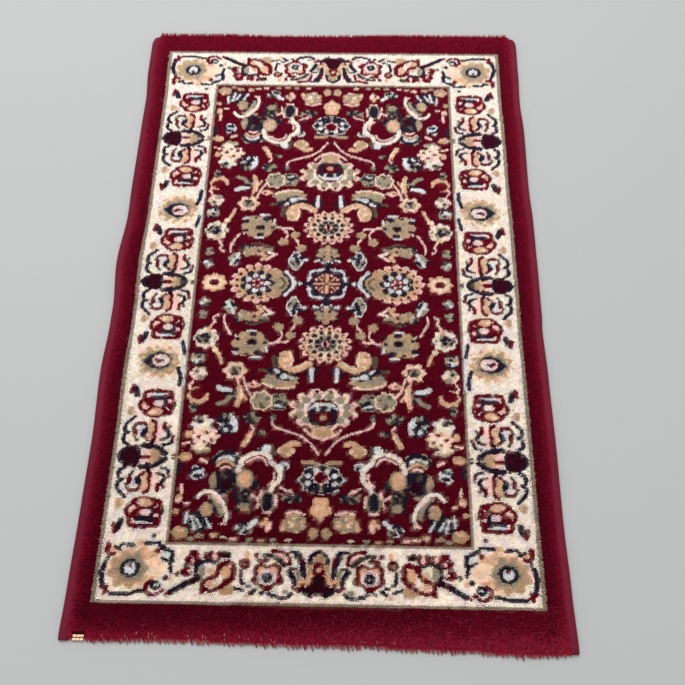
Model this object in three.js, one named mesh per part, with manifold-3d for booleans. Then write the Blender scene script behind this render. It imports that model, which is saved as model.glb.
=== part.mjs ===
// A small machine-woven rug with a cut pile, lying flat on the floor.
// Its long sides are overcast with thick yarn, and its two cut ends are ragged with loose locks of pile.
// Millimetres, +Z up from the floor, +Y along the rug to its far end, the origin under its middle.

import * as THREE from "three";
import { mergeVertices } from "three/addons/utils/BufferGeometryUtils.js";
import Module from "manifold-3d";

const wasm = await Module();
wasm.setup();

// Driving dimensions.
const RUG_HEIGHT = 9.6;
const BACKING_HEIGHT = 2.2;
const BINDING_WIDTH = 13;
const BINDING_HEIGHT = 6.8;
const PIECE_GAP = 0.3;
const SIDE_GAP = 0.5;

// Outer edges of the two bound sides, as distances from the middle line, from the near end to the far end.
const SIDES = [
  { y: -465, left: 303.2, right: 304.8 },
  { y: -400, left: 301.8, right: 303.0 },
  { y: -320, left: 300.8, right: 301.4 },
  { y: -225, left: 300.2, right: 302.0 },
  { y: -130, left: 303.2, right: 301.3 },
  { y: -62, left: 300.3, right: 299.6 },
  { y: -36, left: 300.2, right: 301.0 },
  { y: 38, left: 305.0, right: 301.8 },
  { y: 118, left: 299.4, right: 302.2 },
  { y: 165, left: 300.2, right: 300.6 },
  { y: 275, left: 300.2, right: 302.2 },
  { y: 330, left: 299.8, right: 300.2 },
  { y: 392, left: 303.4, right: 302.2 },
  { y: 462, left: 303.6, right: 303.2 },
];

// Lines that the tips of the loose pile reach at the two ends, across the rug from left to right.
const ENDS = [
  { x: -290, near: -464.0, far: 470.5 },
  { x: -240, near: -463.5, far: 470.0 },
  { x: -175, near: -462.8, far: 471.0 },
  { x: -100, near: -463.8, far: 468.2 },
  { x: -20, near: -466.6, far: 468.6 },
  { x: 60, near: -466.0, far: 471.4 },
  { x: 140, near: -468.2, far: 472.4 },
  { x: 200, near: -469.6, far: 472.0 },
  { x: 246, near: -473.0, far: 472.2 },
  { x: 290, near: -470.0, far: 473.4 },
];

// Where the bindings stop, which is short of the pile at the far end.
const BINDING_SPANS = {
  left: { near: -461.5, far: 458.5 },
  right: { near: -466.5, far: 461.5 },
};

// Depths of the two end strips, and how far the tips stand out beyond them.
const NEAR_STRIP_DEPTH = 8.7;
const NEAR_TIP_REACH = 3.4;
const FAR_STRIP_DEPTH = 5;
const FAR_TIP_REACH = 2.6;

// The pile thins towards the rims: shares of the full height, by distance inwards.
const SIDE_RIM = [
  { inwards: 0, height: 0.74 },
  { inwards: 2.5, height: 0.92 },
  { inwards: 7, height: 1 },
];
const NEAR_RIM = [
  { inwards: 0, height: 0.7 },
  { inwards: 4, height: 0.86 },
  { inwards: 9, height: 0.96 },
  { inwards: 17, height: 1 },
];
const FAR_RIM = [
  { inwards: 0, height: 0.9 },
  { inwards: 3, height: 0.97 },
  { inwards: 8, height: 1 },
];
const INNER_ROWS = 46;
const SWELL_HEIGHT = 0.25;
const SWELL_LENGTHS = { across: 170, along: 230 };

// Overcast yarn edges: a low rounded section, narrower at the two ends, a little lumpy along its length.
const BINDING_SECTION_STEPS = 9;
const BINDING_SECTION_POWER = 2.6;
const BINDING_STEP = 16;
const BINDING_LUMP = { height: 0.25, length: 21 };
const BINDING_END_NARROWING = 0.75;
const BINDING_END = [
  { inwards: 0, height: 0.62 },
  { inwards: 1.5, height: 0.86 },
  { inwards: 5, height: 1 },
];

// Sections of the end strips: out is the distance outwards from the cloth, up the height above the floor.
const NEAR_PROFILE = [
  { out: 0, up: 0 },
  { out: NEAR_STRIP_DEPTH, up: 0 },
  { out: NEAR_STRIP_DEPTH, up: 1.6 },
  { out: NEAR_STRIP_DEPTH - 2, up: 3.2 },
  { out: 0, up: 6.4 },
];
const BARE_PROFILE = NEAR_PROFILE.map(({ out, up }) => ({ out, up: Math.min(up, BACKING_HEIGHT) }));
const FAR_PROFILE = [
  { out: 0, up: 0 },
  { out: FAR_STRIP_DEPTH, up: 0 },
  { out: FAR_STRIP_DEPTH, up: 4.4 },
  { out: FAR_STRIP_DEPTH - 1.4, up: 6.6 },
  { out: 0, up: 8.3 },
];
const STRIP_SIDE_CLEARANCE = 0.6;

// Locks of pile at the ends: a three-sided section that shrinks towards the tip.
const LOCK = { pitch: 4.7, width: 3.3, thickness: 1.7, sideMargin: 1 };
const LOCK_SIZES = { root: 1, bend: 0.95, tip: 0.16 };
const LOCK_CREST_SHARE = 0.6;

// Where the root, the bend and the tip of a lock lie: in is the distance inwards from the strip's outer edge.
const NEAR_LOCK = {
  root: { in: 6.1, up: 4.2 },
  bend: { in: 0.6, up: 3.8, upSpread: 0.8 },
  tip: { up: 0.18, upSpread: 0.1, outShort: 0.6, outSpread: 3.2 },
  lean: 2.2,
  leanSpread: 1,
};
const FAR_LOCK = {
  root: { in: 2.4, up: 3.4 },
  bend: { in: 0.4, up: 6, upSpread: 0.4 },
  tip: { up: 8.3, upSpread: 1.4, outShort: 0.6, outSpread: 2.2 },
  lean: 0,
  leanSpread: 1,
};

// The near left corner, where the pile is gone and the crossings of the backing yarns show.
const BARE_RIGHT_EDGE = -269;
const BARE_STEP = 0.8;
const BARE_CELLS = { columns: 3, rows: 2, width: 4.4, depth: 3.1, height: 0.8, gap: 1.1, margin: 1 };

// Finishes.
const PILE = new THREE.MeshStandardMaterial({ color: 0x6e0a22, roughness: 0.95, metalness: 0 });
const BINDING = new THREE.MeshStandardMaterial({ color: 0x7a1f3c, roughness: 0.8, metalness: 0 });
const END_PILE = new THREE.MeshStandardMaterial({ color: 0x8a0f2a, roughness: 0.95, metalness: 0 });

// The two rows of a table on either side of a place, and the share of the way from one to the other.
function rowsAround(rows, along, place) {
  const found = rows.findIndex((row) => row[along] >= place);
  const next = found < 0 ? rows.length - 1 : Math.max(found, 1);
  const low = rows[next - 1];
  const high = rows[next];
  const share = THREE.MathUtils.clamp((place - low[along]) / (high[along] - low[along]), 0, 1);
  return { low, high, share };
}

// A column of a table at one place, with a soft turn at every row.
function readSoft(rows, along, place, column) {
  const { low, high, share } = rowsAround(rows, along, place);
  return THREE.MathUtils.lerp(low[column], high[column], THREE.MathUtils.smoothstep(share, 0, 1));
}

// A column of a table at one place, straight between its rows.
function readStraight(rows, along, place, column) {
  const { low, high, share } = rowsAround(rows, along, place);
  return THREE.MathUtils.lerp(low[column], high[column], share);
}

// The same number from 0 to 1 for the same index and choice, as uneven as hand work.
function vary(index, choice) {
  const turn = Math.sin(index * 12.9898 + choice * 78.233) * 43758.5453;
  return turn - Math.floor(turn);
}

// Closed solid from equal rings of points; each ring runs anticlockwise seen from beyond its end of the row.
function loft(rings) {
  const sides = rings[0].length;
  const positions = rings.flat().flatMap((point) => point.toArray());
  const faces = [];
  for (let ring = 0; ring < rings.length - 1; ring += 1) {
    for (let side = 0; side < sides; side += 1) {
      const a = ring * sides + side;
      const b = ring * sides + ((side + 1) % sides);
      faces.push(a, b, b + sides, a, b + sides, a + sides);
    }
  }
  const last = (rings.length - 1) * sides;
  for (let side = 1; side < sides - 1; side += 1) {
    faces.push(0, side + 1, side);
    faces.push(last, last + side, last + side + 1);
  }
  return indexedGeometry(positions, faces);
}

function indexedGeometry(positions, faces) {
  const geometry = new THREE.BufferGeometry();
  geometry.setAttribute("position", new THREE.Float32BufferAttribute(positions, 3));
  geometry.setIndex(faces);
  return geometry;
}

function toSolid(geometry) {
  const plain = geometry.clone();
  plain.deleteAttribute("normal");
  plain.deleteAttribute("uv");
  const merged = mergeVertices(plain, 1e-4);
  return new wasm.Manifold(
    new wasm.Mesh({
      numProp: 3,
      vertProperties: new Float32Array(merged.attributes.position.array),
      triVerts: new Uint32Array(merged.index.array),
    }),
  );
}

function toGeometry(solid) {
  const mesh = solid.getMesh();
  return indexedGeometry(Array.from(mesh.vertProperties), Array.from(mesh.triVerts));
}

function joinSolids(geometries) {
  return toGeometry(geometries.map(toSolid).reduce((whole, piece) => whole.add(piece)));
}

function namedMesh(name, geometry, material) {
  geometry.computeVertexNormals();
  const mesh = new THREE.Mesh(geometry, material);
  mesh.name = name;
  return mesh;
}

// Distances from one end of a span: the rim's own steps at each end, and even steps between.
function spacedPlaces(length, firstRim, lastRim, innerCount) {
  const first = firstRim.map((row) => row.inwards);
  const last = lastRim.map((row) => length - row.inwards).reverse();
  const from = first[first.length - 1];
  const step = (last[0] - from) / (innerCount + 1);
  const inner = Array.from({ length: innerCount }, (_, index) => from + step * (index + 1));
  return [...first, ...inner, ...last];
}

function rimShare(rim, inwards) {
  return readSoft(rim, "inwards", inwards, "height");
}

// Gentle swell of the pile's surface, where the rug lies a little uneven.
function swell(x, y) {
  return SWELL_HEIGHT * Math.sin(x / SWELL_LENGTHS.across) * Math.cos(y / SWELL_LENGTHS.along);
}

// Edge of the cloth on each side, a gap inside the binding.
function clothEdge(side, y) {
  const sign = side === "left" ? -1 : 1;
  return sign * (readSoft(SIDES, "y", y, side) - BINDING_WIDTH - SIDE_GAP);
}

function nearClothEnd(x) {
  return readStraight(ENDS, "x", x, "near") + NEAR_TIP_REACH + NEAR_STRIP_DEPTH + PIECE_GAP;
}

function farClothEnd(x) {
  return readStraight(ENDS, "x", x, "far") - FAR_TIP_REACH - FAR_STRIP_DEPTH - PIECE_GAP;
}

// Places across the rug where its ends turn, between the two rims.
function middlePlaces(left, right) {
  return ENDS.map((row) => row.x).filter((x) => x > left && x < right);
}

// One row of points of the pile's surface, from the left edge to the right edge.
function pileRow(fromNear, length) {
  const roughY = nearClothEnd(0) + fromNear;
  const left = clothEdge("left", roughY);
  const right = clothEdge("right", roughY);
  const rim = SIDE_RIM.map((row) => row.inwards);
  const widest = rim[rim.length - 1];
  const xs = [
    ...rim.map((inwards) => left + inwards),
    ...middlePlaces(left + widest, right - widest),
    ...rim.map((inwards) => right - inwards).reverse(),
  ];
  const endShare = rimShare(NEAR_RIM, fromNear) * rimShare(FAR_RIM, length - fromNear);
  return xs.map((x) => {
    const y = THREE.MathUtils.lerp(nearClothEnd(x), farClothEnd(x), fromNear / length);
    const sideShare = rimShare(SIDE_RIM, Math.min(x - left, right - x));
    return new THREE.Vector3(x, y, RUG_HEIGHT * sideShare * endShare + swell(x, y));
  });
}

// The backing and its pile: a flat slab whose top thins towards its rims.
function makeRug() {
  const length = farClothEnd(0) - nearClothEnd(0);
  const rows = spacedPlaces(length, NEAR_RIM, FAR_RIM, INNER_ROWS).map((fromNear) => {
    const top = pileRow(fromNear, length);
    const bottom = top.map((point) => new THREE.Vector3(point.x, point.y, 0));
    return { top, bottom };
  });
  return namedMesh("rug", slabGeometry(rows), PILE);
}

// Closed slab from rows of top points and the bottom points below them.
function slabGeometry(rows) {
  const columns = rows[0].top.length;
  const levelSize = rows.length * columns;
  const tops = rows.flatMap((row) => row.top);
  const bottoms = rows.flatMap((row) => row.bottom);
  const positions = [...tops, ...bottoms].flatMap((point) => point.toArray());
  const at = (row, column, level) => level * levelSize + row * columns + column;
  const faces = [];
  const quad = (a, b, c, d) => faces.push(a, b, c, a, c, d);
  for (let row = 0; row < rows.length - 1; row += 1) {
    for (let column = 0; column < columns - 1; column += 1) {
      quad(at(row, column, 0), at(row, column + 1, 0), at(row + 1, column + 1, 0), at(row + 1, column, 0));
      quad(at(row, column, 1), at(row + 1, column, 1), at(row + 1, column + 1, 1), at(row, column + 1, 1));
    }
    const edge = columns - 1;
    quad(at(row, 0, 0), at(row + 1, 0, 0), at(row + 1, 0, 1), at(row, 0, 1));
    quad(at(row, edge, 0), at(row, edge, 1), at(row + 1, edge, 1), at(row + 1, edge, 0));
  }
  const far = rows.length - 1;
  for (let column = 0; column < columns - 1; column += 1) {
    quad(at(0, column, 0), at(0, column, 1), at(0, column + 1, 1), at(0, column + 1, 0));
    quad(at(far, column, 0), at(far, column + 1, 0), at(far, column + 1, 1), at(far, column, 1));
  }
  return indexedGeometry(positions, faces);
}

// Section of the binding at one place, from its outer foot over its crown to its inner foot.
function bindingSection(outerX, y, size, sign) {
  const centre = outerX - sign * BINDING_WIDTH * 0.5;
  const power = 2 / BINDING_SECTION_POWER;
  const height = BINDING_HEIGHT * size + BINDING_LUMP.height * Math.sin(y / BINDING_LUMP.length);
  const halfWidth = BINDING_WIDTH * 0.5 * THREE.MathUtils.lerp(BINDING_END_NARROWING, 1, size);
  return Array.from({ length: BINDING_SECTION_STEPS + 1 }, (_, step) => {
    const angle = (Math.PI * step) / BINDING_SECTION_STEPS;
    const reach = Math.sign(Math.cos(angle)) * Math.abs(Math.cos(angle)) ** power;
    const rise = Math.abs(Math.sin(angle)) ** power;
    return new THREE.Vector3(centre + reach * halfWidth, y, rise * height);
  });
}

// Overcast yarn edge: a low rounded bar that follows the side and narrows at its two ends.
function makeBinding(side) {
  const sign = side === "left" ? -1 : 1;
  const span = BINDING_SPANS[side];
  const length = span.far - span.near;
  const innerCount = Math.round(length / BINDING_STEP);
  const rings = spacedPlaces(length, BINDING_END, BINDING_END, innerCount).map((fromNear) => {
    const y = span.near + fromNear;
    const size = rimShare(BINDING_END, fromNear) * rimShare(BINDING_END, length - fromNear);
    return bindingSection(sign * readSoft(SIDES, "y", y, side), y, size, sign).reverse();
  });
  return namedMesh(`binding_${side}`, loft(rings), BINDING);
}

// Widest straight span that clears both bindings at an end.
function stripSpan(y) {
  const left = clothEdge("left", y) + STRIP_SIDE_CLEARANCE;
  const right = clothEdge("right", y) - STRIP_SIDE_CLEARANCE;
  return { left, right };
}

function profileRing(profile, x, clothEnd, outwards) {
  const ring = profile.map((point) => new THREE.Vector3(x, clothEnd + outwards * point.out, point.up));
  return outwards > 0 ? ring : ring.reverse();
}

// Strip under the loose pile of the near end, low and flat in its bare left corner.
function nearStripGeometry(span) {
  const start = BARE_RIGHT_EDGE + BARE_STEP;
  const bareXs = [span.left, BARE_RIGHT_EDGE];
  const pileXs = [start, ...middlePlaces(start, span.right), span.right];
  const ringAt = (profile) => (x) => profileRing(profile, x, nearClothEnd(x) - PIECE_GAP, -1);
  return loft([...bareXs.map(ringAt(BARE_PROFILE)), ...pileXs.map(ringAt(NEAR_PROFILE))]);
}

// Strip under the loose pile of the far end.
function farStripGeometry(span) {
  const xs = [span.left, ...middlePlaces(span.left, span.right), span.right];
  return loft(xs.map((x) => profileRing(FAR_PROFILE, x, farClothEnd(x) + PIECE_GAP, 1)));
}

// Three-sided section of a lock, square to the way it runs.
function lockSection(point, run, size) {
  const lift = new THREE.Vector3(0, -run.z, run.y).normalize();
  if (lift.z < 0) lift.negate();
  const thickness = LOCK.thickness * size;
  const half = LOCK.width * size * 0.5;
  const low = point.clone().addScaledVector(lift, -thickness * (1 - LOCK_CREST_SHARE));
  const left = low.clone().setX(low.x - half);
  const right = low.clone().setX(low.x + half);
  const crest = point.clone().addScaledVector(lift, thickness * LOCK_CREST_SHARE);
  return [left, right, crest];
}

// A lock of pile that tapers from its root over its bend to its tip.
function lockGeometry(root, bend, tip) {
  const firstRun = bend.clone().sub(root).normalize();
  const lastRun = tip.clone().sub(bend).normalize();
  const bendRun = firstRun.clone().add(lastRun).normalize();
  const rings = [
    lockSection(root, firstRun, LOCK_SIZES.root),
    lockSection(bend, bendRun, LOCK_SIZES.bend),
    lockSection(tip, lastRun, LOCK_SIZES.tip),
  ];
  return loft(tip.y > root.y ? rings.map((ring) => ring.reverse()) : rings);
}

// Even places for the locks between two limits.
function lockPlaces(from, to) {
  const count = Math.floor((to - from) / LOCK.pitch);
  return Array.from({ length: count }, (_, index) => from + ((to - from) * (index + 0.5)) / count);
}

// One lock of an end strip whose outer edge is at edgeY; outwards is 1 at the far end and -1 at the near end.
function endLock(form, x, edgeY, tipReach, outwards, index) {
  const spread = (choice, width) => width * (vary(index, choice * outwards) - 0.5);
  const lean = form.lean + spread(1, form.leanSpread);
  const reach = tipReach - form.tip.outShort + spread(2, form.tip.outSpread);
  const bendUp = form.bend.up + spread(3, form.bend.upSpread);
  const tipUp = form.tip.up + spread(4, form.tip.upSpread);
  const root = new THREE.Vector3(x - lean * 0.5, edgeY - outwards * form.root.in, form.root.up);
  const bend = new THREE.Vector3(x, edgeY - outwards * form.bend.in, bendUp);
  const tip = new THREE.Vector3(x + lean * 0.5, edgeY + outwards * reach, tipUp);
  return lockGeometry(root, bend, tip);
}

// Near end: the locks are splayed outwards over the strip and their tips lie on the floor.
function nearLock(x, index) {
  const edgeY = nearClothEnd(x) - PIECE_GAP - NEAR_STRIP_DEPTH;
  return endLock(NEAR_LOCK, x, edgeY, NEAR_TIP_REACH, -1, index);
}

// Far end: the locks stand nearly upright and lean a little outwards.
function farLock(x, index) {
  const edgeY = farClothEnd(x) + PIECE_GAP + FAR_STRIP_DEPTH;
  return endLock(FAR_LOCK, x, edgeY, FAR_TIP_REACH, 1, index);
}

// Raised crossings of the backing yarns in the bare corner.
function bareCells(span) {
  const cells = [];
  const pitchX = BARE_CELLS.width + BARE_CELLS.gap;
  const pitchY = BARE_CELLS.depth + BARE_CELLS.gap;
  for (let row = 0; row < BARE_CELLS.rows; row += 1) {
    for (let column = 0; column < BARE_CELLS.columns; column += 1) {
      const cell = new THREE.BoxGeometry(BARE_CELLS.width, BARE_CELLS.depth, BARE_CELLS.height * 2);
      const x = span.left + BARE_CELLS.margin + BARE_CELLS.width * 0.5 + pitchX * column;
      const y = nearClothEnd(x) - PIECE_GAP - pitchY * (row + 0.5);
      cell.translate(x, y, BACKING_HEIGHT);
      cells.push(cell);
    }
  }
  return cells;
}

function makeNearEnd() {
  const span = stripSpan(nearClothEnd(0));
  const pileEdge = BARE_RIGHT_EDGE + BARE_STEP;
  const locks = lockPlaces(pileEdge + LOCK.sideMargin, span.right - LOCK.sideMargin).map(nearLock);
  const solid = joinSolids([nearStripGeometry(span), ...bareCells(span), ...locks]);
  return namedMesh("end_pile_near", solid, END_PILE);
}

function makeFarEnd() {
  const span = stripSpan(farClothEnd(0));
  const locks = lockPlaces(span.left + LOCK.sideMargin, span.right - LOCK.sideMargin).map(farLock);
  return namedMesh("end_pile_far", joinSolids([farStripGeometry(span), ...locks]), END_PILE);
}

const group = new THREE.Group();
group.add(makeRug());
group.add(makeBinding("left"));
group.add(makeBinding("right"));
group.add(makeNearEnd());
group.add(makeFarEnd());

// The origin lies under the middle of the whole rug.
const middle = new THREE.Box3().setFromObject(group).getCenter(new THREE.Vector3());
group.position.set(-middle.x, -middle.y, 0);

export default group;
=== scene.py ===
"""Looks of a small ornamental pile rug that lies flat on the floor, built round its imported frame.

The row frame is in metres: +Y runs along the rug to its far end, +Z up from the floor. The rug's own sizes
are in millimetres in that frame, and those of the finishes and the studio in metres. FOOT is how high the
slabs start above the floor.
The pattern is drafted in tufts, as a weaver's chart is: a counts tufts outwards from the rug's long middle
line and b counts rows outwards from its short middle line, and the four quarters mirror each other.
"""

import logging
import math
from collections.abc import Callable
from dataclasses import dataclass
from enum import Enum

import bmesh
import bpy
import numpy as np
from mathutils import Matrix, Vector


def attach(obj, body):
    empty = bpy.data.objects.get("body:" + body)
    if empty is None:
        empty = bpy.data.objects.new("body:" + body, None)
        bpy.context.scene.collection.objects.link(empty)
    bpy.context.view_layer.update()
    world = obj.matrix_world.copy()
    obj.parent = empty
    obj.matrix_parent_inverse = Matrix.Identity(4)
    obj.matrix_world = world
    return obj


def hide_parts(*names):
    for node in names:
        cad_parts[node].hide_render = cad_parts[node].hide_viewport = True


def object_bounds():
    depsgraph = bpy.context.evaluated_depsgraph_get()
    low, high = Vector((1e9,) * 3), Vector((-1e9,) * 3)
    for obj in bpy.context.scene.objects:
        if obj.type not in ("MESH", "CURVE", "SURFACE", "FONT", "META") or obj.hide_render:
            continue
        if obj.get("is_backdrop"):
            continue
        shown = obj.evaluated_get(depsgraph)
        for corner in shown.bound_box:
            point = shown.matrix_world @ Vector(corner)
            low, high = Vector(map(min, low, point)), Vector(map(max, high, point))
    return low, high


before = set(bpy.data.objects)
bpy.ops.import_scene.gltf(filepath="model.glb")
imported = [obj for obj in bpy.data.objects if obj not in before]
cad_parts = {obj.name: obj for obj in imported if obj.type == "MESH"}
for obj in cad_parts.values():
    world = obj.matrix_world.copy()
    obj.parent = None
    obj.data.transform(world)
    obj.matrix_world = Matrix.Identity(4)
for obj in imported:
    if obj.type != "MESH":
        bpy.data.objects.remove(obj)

MM = 0.001
FOOT = 0.3
SEED = 1725
LOG = logging.getLogger("rug")


def linear(red: int, green: int, blue: int) -> tuple[float, float, float]:
    """Scene-linear colour of a screen colour from 0 to 255."""
    shares = [value / 255 for value in (red, green, blue)]
    return tuple(s / 12.92 if s <= 0.04045 else ((s + 0.055) / 1.055) ** 2.4 for s in shares)


class Yarn(Enum):
    """Pile yarns, with the letter that the chart uses and the screen colour of the dyed yarn."""

    CRIMSON = ("K", (124, 8, 40))
    RED = ("R", (140, 20, 46))
    MAROON = ("m", (82, 18, 42))
    NAVY = ("n", (60, 50, 72))
    IVORY = ("i", (251, 243, 234))
    WHITE = ("w", (240, 240, 240))
    CREAM = ("c", (253, 235, 216))
    PEACH = ("p", (239, 210, 183))
    PINK = ("o", (255, 229, 222))
    TAN = ("t", (217, 192, 163))
    SAGE = ("s", (194, 184, 164))
    GREY = ("g", (180, 165, 148))
    OLIVE = ("d", (128, 112, 96))

    @property
    def letter(self) -> str:
        """Letter of this yarn in the charts."""
        return self.value[0]

    @property
    def colour(self) -> tuple[float, float, float]:
        """Scene-linear colour of this yarn."""
        return linear(*self.value[1])


YARNS = list(Yarn)
YARN_INDEX = {yarn.letter: index for index, yarn in enumerate(YARNS)}


@dataclass
class Chart:
    """A quarter of the pattern, one yarn number for each strand of a tuft, three across by two along."""

    across: int = 82
    along: int = 148
    fine: tuple[int, int] = (3, 2)

    def __post_init__(self) -> None:
        """Starts the chart as plain crimson ground."""
        columns, rows = self.across * self.fine[0], self.along * self.fine[1]
        self.yarns = np.full((columns, rows), YARN_INDEX["K"], dtype=np.int8)
        self.a, self.b = np.meshgrid((np.arange(columns) + 0.5) / self.fine[0],
                                     (np.arange(rows) + 0.5) / self.fine[1], indexing="ij")

    def fill(self, inside: np.ndarray, yarn: str) -> None:
        """Works every strand of a mask in one yarn."""
        self.yarns[inside] = YARN_INDEX[yarn]

    def pick(self, across: np.ndarray, along: np.ndarray) -> np.ndarray:
        """Yarn numbers at some places.

        Args:
            across: Tufts from the rug's long middle line.
            along: Rows from its short middle line.

        Returns:
            The yarn number at each place.
        """
        a = np.clip(np.floor(np.abs(across) * self.fine[0]).astype(int), 0, self.yarns.shape[0] - 1)
        b = np.clip(np.floor(np.abs(along) * self.fine[1]).astype(int), 0, self.yarns.shape[1] - 1)
        return self.yarns[a, b]


@dataclass
class Pen:
    """Draws on a chart in a motif's own coordinates, which may start anywhere and run backwards along b."""

    chart: Chart
    a0: float = 0.0
    b0: float = 0.0
    flip: bool = False

    def local(self) -> tuple[np.ndarray, np.ndarray]:
        """Coordinates of every tuft as this pen counts them."""
        sign = -1 if self.flip else 1
        return self.chart.a - self.a0, (self.chart.b - self.b0) * sign

    def blob(self, yarn: str, a: float, b: float, across: float, along: float = 0.0, petals: int = 0,
             depth: float = 0.14, turn: float = 0.0, power: float = 2.0) -> None:
        """Fills a rounded patch, or a flower head when it has petals.

        Args:
            yarn: Letter of the yarn.
            a: Middle of the patch across.
            b: Middle of the patch along.
            across: Half width.
            along: Half length, the same as across when it is left out.
            petals: Number of scallops round the rim.
            depth: How deep the notches between the scallops are.
            turn: Angle of the first scallop, in degrees.
            power: 2 for an oval and more for a squarer patch.
        """
        self.chart.fill(self.inside(a, b, across, along, petals, depth, turn, power), yarn)

    def inside(self, a: float, b: float, across: float, along: float, petals: int, depth: float, turn: float,
               power: float = 2.0) -> np.ndarray:
        """Mask of a rounded patch or flower head.

        Args:
            a: Middle of the patch across.
            b: Middle of the patch along.
            across: Half width.
            along: Half length, or 0 for the same as across.
            petals: Number of scallops round the rim.
            depth: How deep the notches between the scallops are.
            turn: Angle of the first scallop, in degrees.
            power: 2 for an oval and more for a squarer patch.

        Returns:
            True for every strand inside.
        """
        la, lb = self.local()
        da, db = (la - a) / across, (lb - b) / (along or across)
        reach = (np.abs(da) ** power + np.abs(db) ** power) ** (1 / power)
        rim = 1.0
        if petals:
            angle = np.arctan2(db, da) - math.radians(turn)
            rim = 1 - depth * (1 - np.abs(np.cos(angle * petals / 2)))
        return reach <= rim

    def blossom(self, yarns: str, a: float, b: float, across: float, along: float, petals: int = 5,
                depth: float = 0.18, turn: float = 0.0, fringe: str = "") -> None:
        """Fills a flower head with several yarns mixed in small patches.

        Args:
            yarns: Letters of the yarns, one of them more often if it is named twice.
            a: Middle across.
            b: Middle along.
            across: Half width.
            along: Half length.
            petals: Number of scallops round the rim, or 0 for an oval.
            depth: How deep the notches between the scallops are.
            turn: Angle of the first scallop, in degrees.
            fringe: Letter of the yarn of a narrow rim, if it has one.
        """
        if fringe:
            self.blob(fringe, a, b, across + 0.7, along + 0.7, petals, depth, turn)
        inside = self.inside(a, b, across, along, petals, depth, turn)
        chances = np.random.default_rng([SEED, int(10 * a + 500), int(10 * b + 500)])
        count = max(5, int(2.2 * across * along))
        middles = chances.uniform(-1, 1, (count, 2)) * (across, along) + (a, b)
        la, lb = (values[inside][:, None] for values in self.local())
        nearest = np.hypot(la - middles[:, 0], lb - middles[:, 1]).argmin(1)
        order = chances.permutation(np.arange(count) % len(yarns))
        self.chart.yarns[inside] = np.array([YARN_INDEX[letter] for letter in yarns])[order[nearest]]

    def line(self, yarn: str, width: float, *points: tuple[float, float]) -> None:
        """Draws a soft curve through the points, such as a stem, a leaf or a curl.

        Args:
            yarn: Letter of the yarn.
            width: Width in tufts.
            points: Places that the line passes through, as (a, b) pairs.
        """
        la, lb = self.local()
        path = smooth_path(points)
        nearest = np.full(la.shape, 1e9)
        for (a1, b1), (a2, b2) in zip(path[:-1], path[1:]):
            run_a, run_b = a2 - a1, b2 - b1
            length = max(run_a * run_a + run_b * run_b, 1e-9)
            share = np.clip(((la - a1) * run_a + (lb - b1) * run_b) / length, 0, 1)
            nearest = np.minimum(nearest, np.hypot(la - a1 - share * run_a, lb - b1 - share * run_b))
        self.chart.fill(nearest <= max(width / 2, 0.45), yarn)

    def patch(self, yarn: str, *corners: tuple[float, float]) -> None:
        """Fills a closed shape with straight sides.

        Args:
            yarn: Letter of the yarn.
            corners: Its corners in order, as (a, b) pairs.
        """
        la, lb = self.local()
        inside = np.zeros(la.shape, dtype=bool)
        for (a1, b1), (a2, b2) in zip(corners, corners[1:] + corners[:1]):
            crosses = (b1 > lb) != (b2 > lb)
            inside ^= crosses & (la < (a2 - a1) * (lb - b1) / ((b2 - b1) or 1e-9) + a1)
        self.chart.fill(inside, yarn)


def smooth_path(points: tuple, steps: int = 6) -> list[tuple[float, float]]:
    """Points of a soft curve through the given ones.

    Args:
        points: Places that the curve passes through.
        steps: Number of pieces between two neighbours.

    Returns:
        The curve's points in order.
    """
    if len(points) < 3:
        return list(points)
    ends = [points[0], *points, points[-1]]
    path = []
    for p0, p1, p2, p3 in zip(ends, ends[1:], ends[2:], ends[3:]):
        for step in range(steps):
            t = step / steps
            path.append(tuple(
                0.5 * (2 * p1[k] + (p2[k] - p0[k]) * t + (2 * p0[k] - 5 * p1[k] + 4 * p2[k] - p3[k]) * t * t
                       + (3 * p1[k] - p0[k] - 3 * p2[k] + p3[k]) * t ** 3)
                for k in (0, 1)
            ))
    return path + [points[-1]]


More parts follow.
